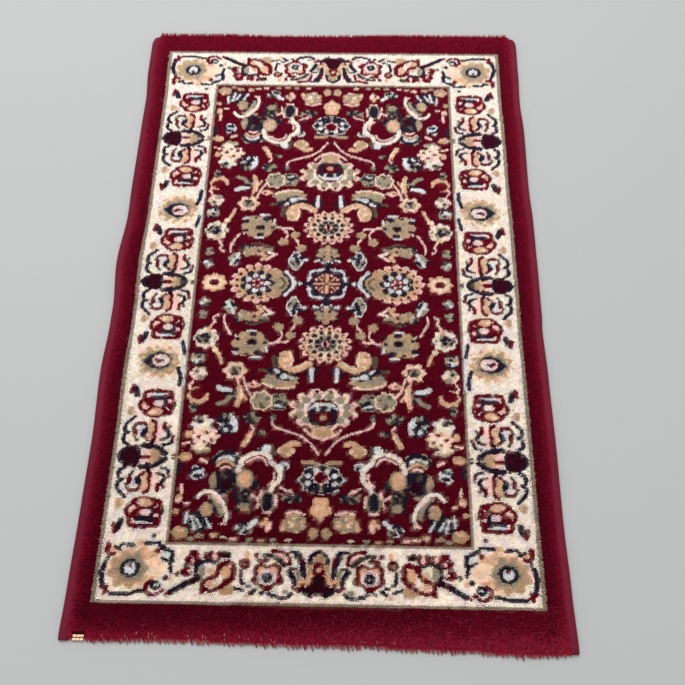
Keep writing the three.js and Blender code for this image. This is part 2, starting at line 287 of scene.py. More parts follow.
@dataclass
class BorderDraft:
    """The ivory border between the plain outer band and the crimson field, with its row of flowers."""

    chart: Chart
    inner_a: float = 51.2
    outer_a: float = 74.6
    inner_b: float = 110.3
    outer_b: float = 132.4

    def band(self) -> None:
        """Lays the ivory band with the grey-green lines along its two edges."""
        a, b = self.chart.a, self.chart.b
        outside = (a < self.outer_a) & (b < self.outer_b)
        inside = (a < self.inner_a) & (b < self.inner_b)
        self.chart.fill(outside & ~inside, "g")
        inner = (a < self.inner_a + 1.2) & (b < self.inner_b + 1.2)
        self.chart.fill((a < self.outer_a - 1.3) & (b < self.outer_b - 1.0) & ~inner, "i")

    def side_heart(self, pen: Pen) -> None:
        """Half of the dark heart of the side border, from its middle line outwards.

        Args:
            pen: Pen to draw with.
        """
        pen.patch("m", (73, -0.7), (72.2, 1.4), (70.6, 2.6), (69.6, 4), (66.2, 4.2), (65, 2.6), (64.4, -0.7))
        pen.line("n", 1.3, (72.6, 0), (71.6, 1.8), (70.4, 2.6))
        pen.line("n", 1.2, (64.8, 0), (65.4, 1.8))
        pen.blob("o", 62.8, 0, 1.9, 2.4)
        pen.line("R", 1.6, (64, 0.2), (61.4, 0.2))
        pen.blob("t", 59.2, 0, 1.9, 3.0)
        pen.blob("p", 60.8, 1.6, 0.9, 1.2)
        pen.line("m", 1.7, (64.6, 3.8), (62.8, 3.6), (61.2, 3.0))
        pen.line("n", 1.6, (64, 4.4), (61.6, 4.0), (59.4, 3.4))
        pen.line("n", 2.0, (59, 3.2), (57, 2.0), (55.6, 0.6))
        pen.line("d", 1.1, (57.6, 0.4), (56.6, 0.4))
        pen.line("n", 1.2, (56.8, 4.2), (55, 4.6), (53.8, 5.6))
        pen.blob("d", 53, 0.4, 0.8, 0.7)

    def side_flower(self, pen: Pen) -> None:
        """Flower of the side border with its vine, just beyond the heart.

        Args:
            pen: Pen to draw with.
        """
        pen.line("n", 1.4, (69.8, 4.4), (71.4, 5.6), (71.4, 8.4))
        pen.line("n", 1.4, (70, 9), (71.4, 10.2), (71.2, 12.6), (69.6, 14.4), (68.4, 15.8))
        pen.line("d", 1.1, (66.4, 5.8), (67.4, 7.4))
        pen.line("R", 1.6, (67.6, 8.2), (67.6, 10.2))
        pen.line("d", 1.3, (68.4, 11), (67.4, 12.8))
        pen.line("R", 1.5, (67, 13), (65.4, 13.4), (64.2, 12.8))
        pen.blob("w", 65.8, 10, 0.9, 1.7)
        pen.line("n", 2.1, (64.6, 8.4), (64.2, 9.8), (63.2, 11))
        pen.line("p", 2.6, (61.8, 7.2), (61.9, 13))
        pen.blob("t", 61.4, 8, 0.7, 1.0)
        pen.line("R", 1.3, (64, 7.4), (62.8, 6.2))
        pen.line("m", 1.7, (61.2, 4.4), (61, 5.8), (60, 7))
        pen.line("R", 1.4, (60, 7.2), (60.6, 8.8), (59.8, 10.4), (60.4, 13), (61.8, 14.2))
        pen.line("o", 2.0, (58.8, 5.6), (58.6, 8.4), (58.6, 12))
        pen.line("d", 1.2, (58, 6.4), (56.6, 6.8))
        pen.line("n", 1.5, (56, 7), (55.2, 8.6), (56, 10))
        pen.line("R", 1.5, (56.8, 10.8), (57.4, 12), (57.2, 13.2))
        pen.line("d", 1.1, (55.6, 11), (55.2, 12))
        pen.line("R", 1.3, (54, 6), (53.6, 8))

    def side_palmette(self, pen: Pen) -> None:
        """Palmette of the side border with its navy boat, and the dash that leads to the rosette.

        Args:
            pen: Pen to draw with.
        """
        pen.blob("R", 61.2, 18, 4.7, 2.6)
        pen.blob("p", 61.3, 17.9, 2.9, 1.5)
        pen.blob("c", 62.2, 17.7, 1.1, 0.8)
        pen.line("R", 1.9, (58, 17), (56, 17.6), (55.2, 19.2))
        pen.line("d", 1.1, (54.4, 20), (54.6, 22))
        pen.blob("R", 64.9, 21, 3.0, 3.1)
        pen.blob("o", 64.8, 20.9, 1.5, 1.9)
        pen.blob("p", 65.4, 21.4, 0.8, 1.2)
        pen.blob("R", 60.2, 22.3, 5.4, 2.9)
        pen.blob("o", 60.4, 21.6, 1.9, 1.4)
        pen.blob("w", 60.0, 21.4, 0.9, 0.8)
        pen.line("n", 1.6, (58, 20.6), (57.8, 23))
        pen.line("R", 2.4, (56.4, 20.6), (55.8, 23), (56.2, 25.6))
        pen.blob("o", 56.6, 22.8, 0.8, 0.8)
        pen.line("n", 1.7, (63.8, 24.8), (62, 23.9), (59.8, 23.9), (58.2, 24.8))
        pen.line("w", 1.2, (62.8, 25.4), (59.6, 25.4))
        pen.line("n", 1.0, (62, 26.4), (59.6, 26.4))
        pen.line("R", 1.7, (66, 23.4), (65.4, 26.2), (63.2, 26.9))
        pen.line("R", 1.5, (61.4, 27), (58.4, 26.8), (55.6, 26.4))
        pen.blob("o", 64.2, 25.2, 0.8, 0.8)
        pen.line("n", 2.4, (68.4, 24.9), (69.4, 27.6))
        pen.line("R", 1.6, (70.8, 26.2), (70.2, 29))
        pen.blob("t", 70.2, 18, 1.3, 1.9)
        pen.blob("p", 68.8, 17.8, 0.8, 0.9)

    def rosette(self, pen: Pen) -> None:
        """A round flower with pale petals, drawn about the pen's own start.

        Args:
            pen: Pen to draw with.
        """
        pen.blossom("cic", 0, 0, 9.0, 8.8, petals=11, depth=0.26)
        pen.blossom("tct", 0.4, 0.2, 8.4, 7.6, petals=11, depth=0.34, turn=12)
        pen.blossom("tpt", -0.4, 1.2, 6.9, 6.4, petals=11, depth=0.3)
        pen.blob("s", 0.6, 0.2, 6.3, 5.0, petals=7, depth=0.2)
        pen.patch("n", (6.2, 0.4), (3.6, -2.6), (0.4, -4.1), (-2.6, -3.5), (-4.5, -0.6), (-3.5, 2.5),
                  (-0.6, 3.9), (3.1, 3.1))
        pen.blob("o", -0.5, -0.1, 3.2, 2.7)
        pen.blob("w", -0.4, 0.2, 2.2, 1.7)
        pen.line("R", 1.3, (1.4, -0.5), (0.2, 0.2), (-1.2, -0.2))

    def side(self) -> None:
        """Works the long side: heart, flower, palmette, rosette, and the same again to the corner."""
        for centre, flip in ((0, False), (77.4, True), (78.1, False)):
            pen = Pen(self.chart, 0, centre, flip)
            self.side_flower(pen)
            self.side_palmette(pen)
            self.side_heart(pen)
        self.rosette(Pen(self.chart, 62, 37.1))
        mid = Pen(self.chart)
        mid.line("w", 1.2, (52.6, 28), (52.4, 48))
        mid.line("n", 1.5, (54, 28.4), (53, 33.8))
        mid.line("n", 1.6, (54.8, 40.4), (53.6, 44), (53.6, 47.8))

    def end_heart(self, pen: Pen) -> None:
        """Half of the dark heart at the middle of the end border.

        Args:
            pen: Pen to draw with.
        """
        pen.line("t", 2.6, (0.4, 115.4), (0.6, 118))
        pen.line("n", 1.5, (0.4, 113.2), (2.6, 115), (2.8, 117.6))
        pen.line("t", 1.7, (3, 118.8), (2.8, 121.8))
        pen.line("R", 2.6, (0.4, 118.4), (0.8, 121.6))
        pen.blob("p", 0.2, 119.8, 0.7, 0.8)
        pen.line("p", 2.5, (2.4, 122.4), (4.6, 124.4), (6.8, 124.2))
        pen.line("t", 1.4, (4.6, 120.2), (6.6, 120.6))
        pen.blob("R", 5.4, 125.2, 0.9, 0.7)
        pen.patch("m", (-0.1, 121.6), (2, 122.2), (2.8, 124.6), (4.4, 126), (8.4, 126.4), (5, 127.8),
                  (2, 129.2), (-0.1, 129))
        pen.line("n", 1.3, (4.8, 127.9), (2.2, 129.2))
        pen.line("R", 1.3, (8.4, 126.2), (6.6, 127.4))
        pen.line("n", 1.8, (6.7, 114), (6.2, 117.2))
        pen.line("R", 1.4, (5.3, 115.8), (5, 118.8))
        pen.line("n", 1.8, (5.6, 118.8), (4.9, 122))
        pen.line("n", 1.3, (9.8, 113.5), (7.4, 113.7))
        pen.blob("n", 7.6, 115.4, 0.8, 0.7)
        pen.line("n", 1.9, (10, 120.6), (8.8, 122.2), (7.8, 124.4))
        pen.line("d", 1.1, (9.4, 119.4), (7.6, 119.5))
        pen.line("s", 1.2, (6.8, 121), (6.6, 122.4))

    def end_flower(self, pen: Pen) -> None:
        """Small five-petalled flower of the end border under its arched leaf.

        Args:
            pen: Pen to draw with.
        """
        pen.line("R", 1.3, (15.6, 113.2), (13.2, 113.5), (11.2, 114), (10, 115.6), (9.8, 117.8))
        pen.line("o", 1.0, (15.4, 114.4), (12.6, 115), (11.2, 117))
        pen.line("n", 1.4, (16.6, 114.6), (15.6, 115.4))
        pen.line("d", 1.9, (14.6, 115.6), (12.8, 116.6), (11.4, 118.2))
        pen.line("n", 0.9, (12.8, 117), (11.4, 118.6))
        pen.blob("d", 18.1, 114.9, 1.4, 0.9)
        pen.line("R", 1.3, (20.2, 116.7), (16.8, 116.6))
        pen.blob("R", 21.1, 114.8, 0.9, 1.0)
        for a, b, reach in ((19.4, 120.2, 2.7), (14.9, 120.2, 2.7), (20.3, 123.6, 2.0), (13.4, 123.6, 2.1),
                            (17.2, 125.2, 2.5)):
            pen.blob("R", a, b, reach, reach * 0.95)
        pen.blob("p", 19.2, 120.2, 1.4, 1.2)
        pen.blob("p", 15.1, 120.3, 1.4, 1.3)
        pen.blob("o", 17.2, 122.6, 3.3, 3.0)
        pen.blob("s", 20, 123.8, 0.7, 0.8)
        pen.blob("w", 17.1, 122.8, 2.6, 2.3)
        pen.blob("n", 17.1, 122.8, 1.9, 1.8)
        pen.blob("s", 17, 122.8, 0.7, 0.6)
        pen.blob("w", 13.8, 127, 1.0, 0.8)

    def end_stem(self, pen: Pen) -> None:
        """Little ring flower on a stem, with the dotted vine at its foot.

        Args:
            pen: Pen to draw with.
        """
        pen.blob("p", 24.2, 114.8, 0.9, 1.2)
        pen.blob("R", 24.9, 118, 2.0, 1.9)
        pen.blob("s", 24.9, 118.1, 0.8, 0.8)
        pen.line("n", 1.3, (25.9, 120.4), (25.8, 124.2))
        for a, b in ((24.9, 125), (23, 126), (21.2, 127.2), (18.8, 128.2), (22.4, 128.2)):
            pen.blob("n", a, b, 1.0, 0.7)
        pen.line("n", 1.2, (28.4, 126.6), (26.6, 127), (24.8, 127.5))
        pen.blob("n", 16.3, 128.3, 0.9, 0.6)
        pen.line("n", 1.5, (15, 129.2), (12.4, 129.6), (9.8, 129.4), (8.8, 128.2))
        pen.blob("s", 10.8, 127.7, 1.1, 0.8)
        pen.blob("p", 23.8, 129.3, 1.0, 0.7)

    def end_palmette(self, pen: Pen) -> None:
        """Large palmette of the end border, with the dark blade that runs to the corner.

        Args:
            pen: Pen to draw with.
        """
        pen.blob("d", 31.6, 114.8, 2.2, 1.2)
        pen.blob("d", 37.4, 115.2, 1.1, 1.3)
        pen.blob("d", 44.4, 119, 1.1, 1.0)
        pen.blob("t", 30.6, 127.2, 2.6, 2.2)
        pen.blob("p", 30.2, 125, 1.2, 1.0)
        pen.line("R", 2.3, (43, 114.6), (41.2, 115), (40.6, 116.8))
        pen.line("R", 2.5, (44, 116.8), (42.2, 117.8))
        pen.line("R", 1.5, (38.6, 114.6), (38.3, 116))
        pen.blob("o", 39.6, 115.5, 0.8, 1.0)
        pen.blob("o", 42.3, 117.1, 0.7, 0.7)
        pen.line("R", 2.2, (36.4, 114.6), (36, 116.2))
        pen.line("R", 1.5, (33.8, 114.4), (33.6, 116.4))
        pen.blob("o", 34.9, 115.8, 0.8, 1.1)
        pen.line("m", 1.4, (32.2, 115), (30.2, 115.4))
        pen.blob("R", 44.2, 121.2, 2.2, 1.7)
        pen.blob("o", 42.8, 121, 0.9, 0.8)
        pen.blob("i", 36.3, 120.4, 3.6, 3.0, power=3)
        pen.line("s", 2.2, (39.2, 119), (39, 121.8))
        pen.blob("p", 35.8, 121.2, 1.3, 1.4)
        pen.line("n", 1.5, (33.6, 118), (36, 117.5), (39.2, 117.6), (40.8, 119), (40.9, 121.8),
                 (39.6, 123.4), (38.6, 124.2))
        pen.line("R", 2.6, (32.8, 119.2), (30.2, 118), (28.6, 119.6), (28.8, 122.8), (30.8, 124.8))
        pen.blob("p", 31, 121.2, 1.6, 2.4)
        pen.blob("o", 29.8, 118.9, 0.6, 0.6)
        pen.line("R", 1.6, (33.6, 118.4), (33.7, 121), (34.6, 122.8), (36.6, 123.2), (38.6, 125))
        pen.line("R", 1.6, (38.4, 125), (38.6, 128.2))
        pen.line("R", 1.5, (38, 127.4), (35, 127.5), (32.8, 126.6), (31, 124.8))
        pen.blob("p", 35.6, 125.3, 2.2, 1.3)
        pen.blob("c", 34.6, 125.2, 0.9, 0.7)
        pen.line("m", 2.2, (40.4, 124), (43, 124.8), (45.4, 126.4))
        pen.line("n", 2.1, (44.6, 126), (47, 127.4), (49, 128.6))
        pen.line("R", 1.2, (49.2, 129), (50.4, 129.2))
        pen.blob("d", 47.2, 121.9, 0.7, 1.0)

    def corner(self, pen: Pen) -> None:
        """Round flower of the corner, with the vines that run round it.

        Args:
            pen: Pen to draw with.
        """
        pen.blob("c", 61, 119.8, 10.0, 8.6, petals=8, depth=0.16)
        pen.blob("p", 59.4, 119.0, 6.6, 7.0, petals=8, depth=0.3)
        pen.blob("c", 55.6, 119.6, 3.2, 3.4)
        pen.blob("t", 64.2, 120.6, 6.8, 7.0, petals=8, depth=0.26, turn=15)
        pen.blob("s", 62.6, 120.4, 5.4, 4.8, petals=6, depth=0.25)
        pen.line("s", 1.5, (61.4, 117), (61, 114.6))
        pen.blob("n", 63.2, 120.2, 3.4, 3.3)
        pen.blob("w", 63.2, 120.3, 2.0, 2.0)
        pen.blob("R", 63.2, 119.3, 0.9, 0.7)
        pen.line("n", 1.3, (70.8, 115.8), (71.2, 117.6))
        pen.line("n", 1.7, (71.4, 118), (72.3, 121), (72.2, 124), (71.4, 126.6))
        pen.line("R", 1.9, (71.4, 111.6), (71.2, 114.4), (69.2, 115))
        pen.blob("p", 69.7, 113.5, 1.0, 1.1)
        pen.line("n", 1.2, (69.2, 112.4), (67.4, 113.6))
        pen.line("n", 1.2, (67.4, 112.4), (66.2, 111.4))
        pen.line("n", 1.2, (65, 111.7), (62.8, 111.8))
        pen.blob("p", 60.8, 111, 1.3, 0.9)
        pen.line("n", 1.3, (59, 111.2), (54.4, 111))
        pen.blob("w", 56.4, 110, 1.2, 0.7)
        pen.blob("n", 56.4, 108.2, 0.8, 0.9)
        pen.line("n", 1.7, (53.8, 112.2), (51, 113.6))
        pen.line("n", 1.5, (49.6, 114.2), (49.4, 117.4))
        pen.blob("w", 51.6, 115.2, 1.4, 1.2)
        pen.blob("R", 54.7, 113.9, 0.9, 1.1)
        pen.line("n", 1.3, (52.8, 116.5), (50.6, 117.6))
        pen.line("n", 1.3, (50, 118.4), (49.4, 121.2))
        pen.blob("n", 51, 123.5, 0.9, 1.2)
        pen.blob("p", 49.4, 124, 0.9, 1.0)
        pen.line("n", 1.4, (68.8, 129.1), (63.2, 129.2), (60.2, 128.4), (57.8, 128))
        pen.line("R", 1.2, (72.2, 127), (69.4, 128.6))
        pen.line("R", 1.2, (70, 126.8), (70.8, 129.4))
        pen.line("R", 1.7, (55.8, 124.8), (57.2, 126.2), (57, 128.2))
        pen.blob("n", 54.1, 126.2, 1.9, 1.7)
        pen.blob("w", 53.8, 126, 0.8, 0.7)
        pen.line("R", 1.3, (56.8, 129), (53.8, 129.4), (51.6, 127.8))

    def draw(self) -> None:
        """Works the whole border."""
        self.band()
        self.side()
        pen = Pen(self.chart)
        for motif in (self.corner, self.end_heart, self.end_flower, self.end_stem, self.end_palmette):
            motif(pen)


@dataclass
class FieldDraft:
    """The crimson field with its medallion, palmettes, blossoms and curling leaves."""

    pen: Pen

    def studs(self, yarn: str, middle: tuple[float, float], reach: tuple[float, float], count: int,
              size: float) -> None:
        """Sets a ring of small spots.

        Args:
            yarn: Letter of the yarn.
            middle: Middle of the ring.
            reach: Half width and half length of the ring.
            count: Number of spots.
            size: Half width of a spot.
        """
        for step in range(count):
            angle = 2 * math.pi * (step + 0.5) / count
            a, b = middle[0] + reach[0] * math.cos(angle), middle[1] + reach[1] * math.sin(angle)
            self.pen.blob(yarn, a, b, size)

    def medallion(self) -> None:
        """Cross-shaped star at the rug's middle, with the tulips and palmette round it."""
        pen = self.pen
        pen.blob("w", 0, 0, 8.2, 8.0, petals=8, depth=0.14, power=3)
        pen.blob("n", 0, 0, 7.2, 7.0, petals=8, depth=0.14, power=3)
        self.studs("w", (0, 0), (7.6, 7.4), 8, 0.9)
        pen.blob("K", 0, 0, 5.4, 5.3, power=2.4)
        pen.line("n", 2.6, (0, 6.4), (0, 9.6))
        pen.line("n", 2.2, (6.4, 0), (9.6, 0))
        pen.blob("w", 10.6, 0, 0.9, 0.8)
        pen.line("p", 0.9, (1.4, 0.2), (4.9, 0.2))
        pen.line("p", 0.9, (0.2, 1.4), (0.2, 4.7))
        pen.line("t", 0.9, (1.7, 1.6), (3.3, 3.1))
        pen.blob("o", 4.2, 2.0, 0.6, 0.5)
        pen.blob("o", 1.9, 4.0, 0.6, 0.5)
        pen.blob("t", 0, 0, 1.4, 1.2)
        pen.blob("d", 0, 0, 0.7, 0.6)
        pen.blossom("nwsn", 0, 10.8, 2.4, 2.0, petals=0)
        pen.blossom("stsd", 0, 15.0, 4.9, 4.2, petals=7, depth=0.34, turn=90)
        pen.line("n", 1.0, (4.8, 12.6), (2.8, 12.4), (1.4, 13.6))
        pen.line("w", 1.1, (4.9, 11.2), (3.3, 11.6))
        pen.line("n", 1.0, (4.6, 17.2), (3.4, 17.8))
        pen.line("t", 1.8, (0, 13.4), (0, 18.8))
        pen.blossom("nnws", 12.7, 11.2, 2.3, 4.2, petals=4, depth=0.2, fringe="w")
        pen.line("n", 1.7, (11.6, 9.8), (12.4, 12.6))
        pen.line("n", 1.7, (10.9, 12.6), (9.7, 13.2))
        pen.blob("w", 8.6, 11.8, 1.0, 0.7)
        pen.line("o", 0.9, (11.8, 15.4), (11.2, 16.4))
        pen.line("o", 0.9, (12, 19.4), (12.2, 21), (13.4, 22.6))
        pen.blossom("ttst", 10.8, 17.8, 2.2, 2.0)
        pen.line("o", 0.9, (17.2, 22.6), (16.6, 25), (18.2, 27.4), (20.4, 28.6), (22.6, 28.4))
        pen.line("o", 0.9, (18.6, 27.8), (15.6, 28.2), (14.4, 27.4))
        pen.blossom("ttst", 18.1, 20.9, 2.2, 2.0)
        pen.blossom("tstt", 13.4, 24.7, 2.2, 1.8)

    def side_palmette(self) -> None:
        """Large palmette on the short middle line, pointing inwards, and the ring flower beside it."""
        pen = self.pen
        pen.blob("o", 27.4, 0, 10.9, 9.9, petals=16, depth=0.16)
        pen.blob("p", 27.4, 0, 10.0, 9.0, petals=16, depth=0.2)
        self.studs("R", (27.4, 0), (8.2, 7.6), 16, 0.75)
        pen.patch("t", (13.8, -1), (13.8, 1), (16.8, 4.4), (19.6, 7.2), (22, 6.6), (25, 5.8), (25, -1))
        pen.blossom("tst", 18.2, 0, 3.4, 3.6, petals=0)
        pen.line("w", 1.5, (12.6, 0), (13.6, 2.2), (15.4, 4.2), (16.2, 5.8))
        pen.line("n", 1.2, (14.4, 0), (15, 2.4), (17.2, 4.8))
        pen.line("d", 0.9, (16.4, 0), (17, 1.4), (18.4, 2.6))
        pen.blob("t", 27.4, 0, 6.9, 6.7, petals=10)
        self.studs("n", (27.4, 0), (5.4, 5.2), 9, 1.5)
        pen.blob("n", 27.4, 0, 4.9, 4.7)
        self.studs("w", (27.4, 0), (3.8, 3.7), 7, 1.2)
        pen.blob("K", 27.4, 0, 2.9, 2.8)
        self.studs("o", (27.4, 0), (1.7, 1.7), 5, 0.6)
        pen.blob("R", 27.2, 0, 0.9, 0.7)
        pen.blob("p", 44.4, 0, 5.1, 4.7, petals=8, depth=0.24)
        pen.blob("c", 44.4, 0, 3.9, 3.3, petals=8, depth=0.2)
        pen.blob("R", 44.4, 0, 2.0, 1.7)
        pen.blob("n", 44.4, 0, 0.8, 0.7)

    def side_sprays(self) -> None:
        """Blossoms, leaves and the six-lobed shield between the medallion and the border."""
        pen = self.pen
        pen.line("o", 0.9, (39, 15.5), (39.2, 18.4), (37.8, 21.6), (36.2, 24.6))
        pen.line("o", 0.9, (41.6, 15.6), (43.4, 17), (42.8, 18.8), (44.2, 21.6))
        pen.blossom("snws", 37.2, 11.6, 3.0, 3.4, petals=4, depth=0.3)
        pen.line("w", 1.4, (38.6, 9.2), (37.6, 11.2))
        pen.line("w", 1.4, (36.4, 12.6), (35.6, 14.8))
        pen.line("n", 1.3, (36.8, 9.6), (35.8, 11.6))
        pen.blossom("snwd", 47.2, 9.6, 2.3, 2.6)
        pen.blossom("snsd", 47.6, 15.6, 2.0, 2.2)
        pen.blossom("nsdn", 33.8, 17.2, 2.0, 2.6, petals=4)
        pen.blossom("tspt", 28.6, 16.2, 4.6, 2.6, petals=6, depth=0.35)
        pen.blossom("sct", 32.2, 15.0, 1.9, 1.9)
        pen.line("p", 1.7, (26.2, 11.8), (25, 13), (26.2, 14.6))
        pen.line("o", 1.2, (24.4, 11.8), (22.6, 13.2), (20.6, 14.6))
        pen.line("i", 1.3, (23.8, 15.4), (21.4, 14.6))
        pen.line("s", 1.6, (25.4, 16.8), (22.6, 17))
        pen.line("d", 1.1, (30.6, 19.4), (27.6, 19.8), (24.6, 18.6), (22, 17.8))
        pen.blob("R", 27.6, 16.2, 0.7, 0.6)
        pen.line("n", 1.0, (31.6, 18.4), (29.4, 18.9))
        pen.blossom("ttst", 28.4, 28.9, 7.2, 6.1, petals=6, depth=0.2)
        pen.line("w", 1.0, (29.8, 23.2), (26.4, 23.2))
        pen.line("w", 1.0, (28, 35), (24.6, 34.8))
        pen.line("w", 1.0, (34.4, 25), (33.6, 26))
        pen.line("w", 1.0, (34.8, 32.6), (33.4, 33.6))
        pen.line("w", 1.0, (22.4, 30.6), (22, 32.4))
        for a, b, reach in ((27.8, 28.2, 1.9), (33.4, 26.6, 1.0), (33.8, 31.6, 1.4), (27.6, 24.5, 1.5),
                            (22.9, 28.4, 0.9), (25.4, 33, 1.6), (22.6, 25.4, 0.8), (29.8, 33.6, 0.8)):
            pen.blob("n", a, b, reach, reach * 0.8)
        pen.blob("m", 27.8, 28.2, 1.1, 0.9)
        pen.blob("s", 30.8, 30.8, 1.4, 1.2)
        pen.blossom("isc", 45.4, 26.4, 4.2, 4.4, petals=8, depth=0.2, fringe="i")
        pen.blossom("snis", 45.4, 27, 2.9, 2.8, petals=0)
        pen.line("n", 1.5, (47.2, 25.6), (44.2, 26.2))
        pen.line("n", 1.1, (48.8, 26.4), (47.6, 28.6))
        pen.blob("p", 44.8, 22.4, 1.3, 0.9)
        pen.line("p", 1.4, (42.2, 30.4), (41, 32.4), (39.8, 34.6), (38.8, 37.6))
        pen.blob("c", 41.6, 31.8, 1.3, 1.1)
        pen.blossom("stnw", 47.6, 35.8, 2.7, 3.0, petals=0)
        pen.line("n", 1.0, (49.6, 33.2), (46.2, 33.6))
        pen.line("n", 1.0, (49.4, 38.2), (45, 38.6))
        pen.line("w", 0.9, (49.6, 36.4), (46.6, 36.2))
        pen.blossom("isoc", 46.9, 42.6, 3.4, 3.2, petals=6, depth=0.2)
        pen.blob("n", 47.6, 41.6, 0.8, 0.8)
        pen.line("o", 0.9, (48.6, 46), (49.8, 48), (49, 50))

    def long_rosette(self) -> None:
        """Scalloped rosette on the long middle line, nearest the medallion."""
        pen = self.pen
        pen.blob("o", 0, 28.6, 10.2, 8.9, petals=16, depth=0.22, turn=11)
        pen.blob("p", 0, 28.6, 9.2, 8.0, petals=16, depth=0.2, turn=11)
        self.studs("R", (0, 28.6), (8.3, 7.2), 16, 0.55)
        pen.blob("c", 0, 28.6, 7.2, 6.2, petals=8, depth=0.16)
        self.studs("n", (0, 28.6), (5.8, 5.1), 12, 1.0)
        pen.blob("s", 0, 28.6, 4.6, 4.0, petals=12)
        self.studs("n", (0, 28.6), (3.3, 2.9), 8, 0.95)
        pen.blob("d", 0, 28.6, 2.4, 2.1)
        pen.blob("o", 0, 28.6, 1.7, 1.5, petals=4)
        pen.line("R", 1.2, (0, 27.6), (0, 29.6))

    def middle_sprays(self) -> None:
        """Pear leaf, fan, curl, and the small flowers beside them."""
        pen = self.pen
        pen.line("d", 1.9, (19.2, 35), (18.6, 38.6))
        pen.line("n", 1.0, (17.6, 33.8), (17.8, 37))
        pen.blossom("ptpc", 14.7, 36, 2.9, 4.2, petals=0)
        pen.line("c", 1.1, (13.2, 32.6), (12.2, 36), (12.8, 38.6))
        pen.blossom("tsts", 16.2, 45, 7.2, 3.6, petals=9, depth=0.2)
        pen.line("c", 1.0, (22.6, 46.6), (19, 48), (15, 48.6), (11, 47.8))
        pen.line("p", 2.4, (14, 40.2), (11, 40.6), (8.4, 39.4), (5.8, 37.6))
        pen.line("c", 1.0, (12, 39.4), (9, 38.6), (7, 37.2))
        pen.line("d", 1.3, (24.2, 40.6), (21.6, 41.2), (19.6, 42.4))
        pen.line("n", 2.2, (20.4, 40.6), (17.8, 42.2), (15.4, 42.6))
        pen.line("n", 1.6, (15.6, 41), (12.6, 42.4), (10.2, 42.6))
        pen.line("n", 1.2, (17.2, 43.8), (13.6, 45))
        pen.line("w", 1.3, (18.4, 40.4), (17.2, 41.6))
        pen.blob("w", 14.9, 43.4, 1.5, 1.3)
        pen.line("w", 1.0, (12.6, 44), (11.2, 43.8))
        pen.line("n", 1.3, (6.6, 40.4), (6.2, 43.4))
        pen.line("n", 1.2, (2.6, 39.6), (3.2, 42.4))
        pen.line("w", 1.5, (4.9, 39.8), (4.6, 45.2))
        pen.line("p", 0.9, (32.2, 44.8), (31, 49), (28.4, 53.6))
        pen.line("o", 0.9, (30, 44), (29, 48), (26.4, 52.4))
        pen.blossom("pcpo", 33.4, 41, 4.7, 4.2, petals=6, depth=0.3)
        pen.blossom("snsd", 33.4, 41, 2.5, 2.2, petals=0)
        pen.blossom("nsn", 33.2, 52.6, 1.3, 2.2, petals=0)
        pen.line("w", 2.0, (39, 48.6), (36.6, 49.6), (34.4, 49.8))
        pen.line("n", 1.2, (36.6, 51), (33.4, 51.2))
        pen.line("s", 1.7, (38.6, 55.6), (36, 54.6), (34.6, 52.8))
        pen.line("p", 2.0, (31.2, 48.4), (31, 52.6), (31.6, 56))
        pen.line("c", 0.9, (30.4, 48.4), (30.2, 53))
        pen.blossom("pop", 26.3, 47.2, 2.7, 1.5, petals=4)
        pen.blob("R", 26.6, 47.2, 0.6, 0.5)
        pen.blob("p", 46.2, 52.2, 4.2, 4.0, petals=7)
        pen.blob("R", 46.4, 51.4, 2.8, 2.4)
        pen.blob("K", 44.2, 49.8, 2.2, 1.6)
        pen.blossom("sdn", 47.2, 57.4, 1.8, 2.4)
        pen.blossom("nnsn", 16.6, 54.6, 3.5, 3.2, petals=6, fringe="s")
        pen.line("s", 0.9, (18, 53), (15.4, 53.4))
        pen.line("w", 0.9, (17.6, 56), (15.4, 56.4))
        pen.blossom("ssds", 22.7, 54, 3.7, 3.8, petals=7, depth=0.2, fringe="c")

    def long_palmette(self) -> None:
        """Large palmette on the long middle line."""
        pen = self.pen
        pen.blob("o", 0, 57.4, 13.0, 9.2, petals=12, depth=0.2, turn=15)
        pen.blossom("icic", 0, 57.4, 12.2, 8.5, petals=12, depth=0.22, turn=15)
        self.studs("s", (0, 57.8), (8.8, 6.1), 12, 1.6)
        self.studs("t", (0, 57.8), (11.0, 7.5), 12, 0.7)
        pen.blob("K", 0, 58.8, 5.9, 5.6)
        for a, b in ((9.8, 54.6), (10.2, 60.6), (7.4, 65.2), (6.4, 50.8), (2.4, 49.8)):
            pen.blob("R", a, b, 0.8, 0.6)
        pen.line("w", 1.8, (4.6, 57.4), (2.6, 55.6), (0, 55.2))
        pen.line("n", 2.2, (4, 58.4), (2.8, 57.6), (0, 57.6))
        pen.line("n", 1.5, (3.8, 60.4), (4, 63), (1, 63.4))
        pen.blob("w", 2, 57.4, 0.6, 0.8)
        pen.blob("R", 0, 61, 2.4, 1.9)
        pen.blob("t", 0, 61, 1.2, 1.1)
        pen.blossom("tpt", 0, 67.4, 3.9, 2.4, petals=0)
        pen.line("o", 1.0, (6.6, 66), (3.8, 68.6), (0, 70))

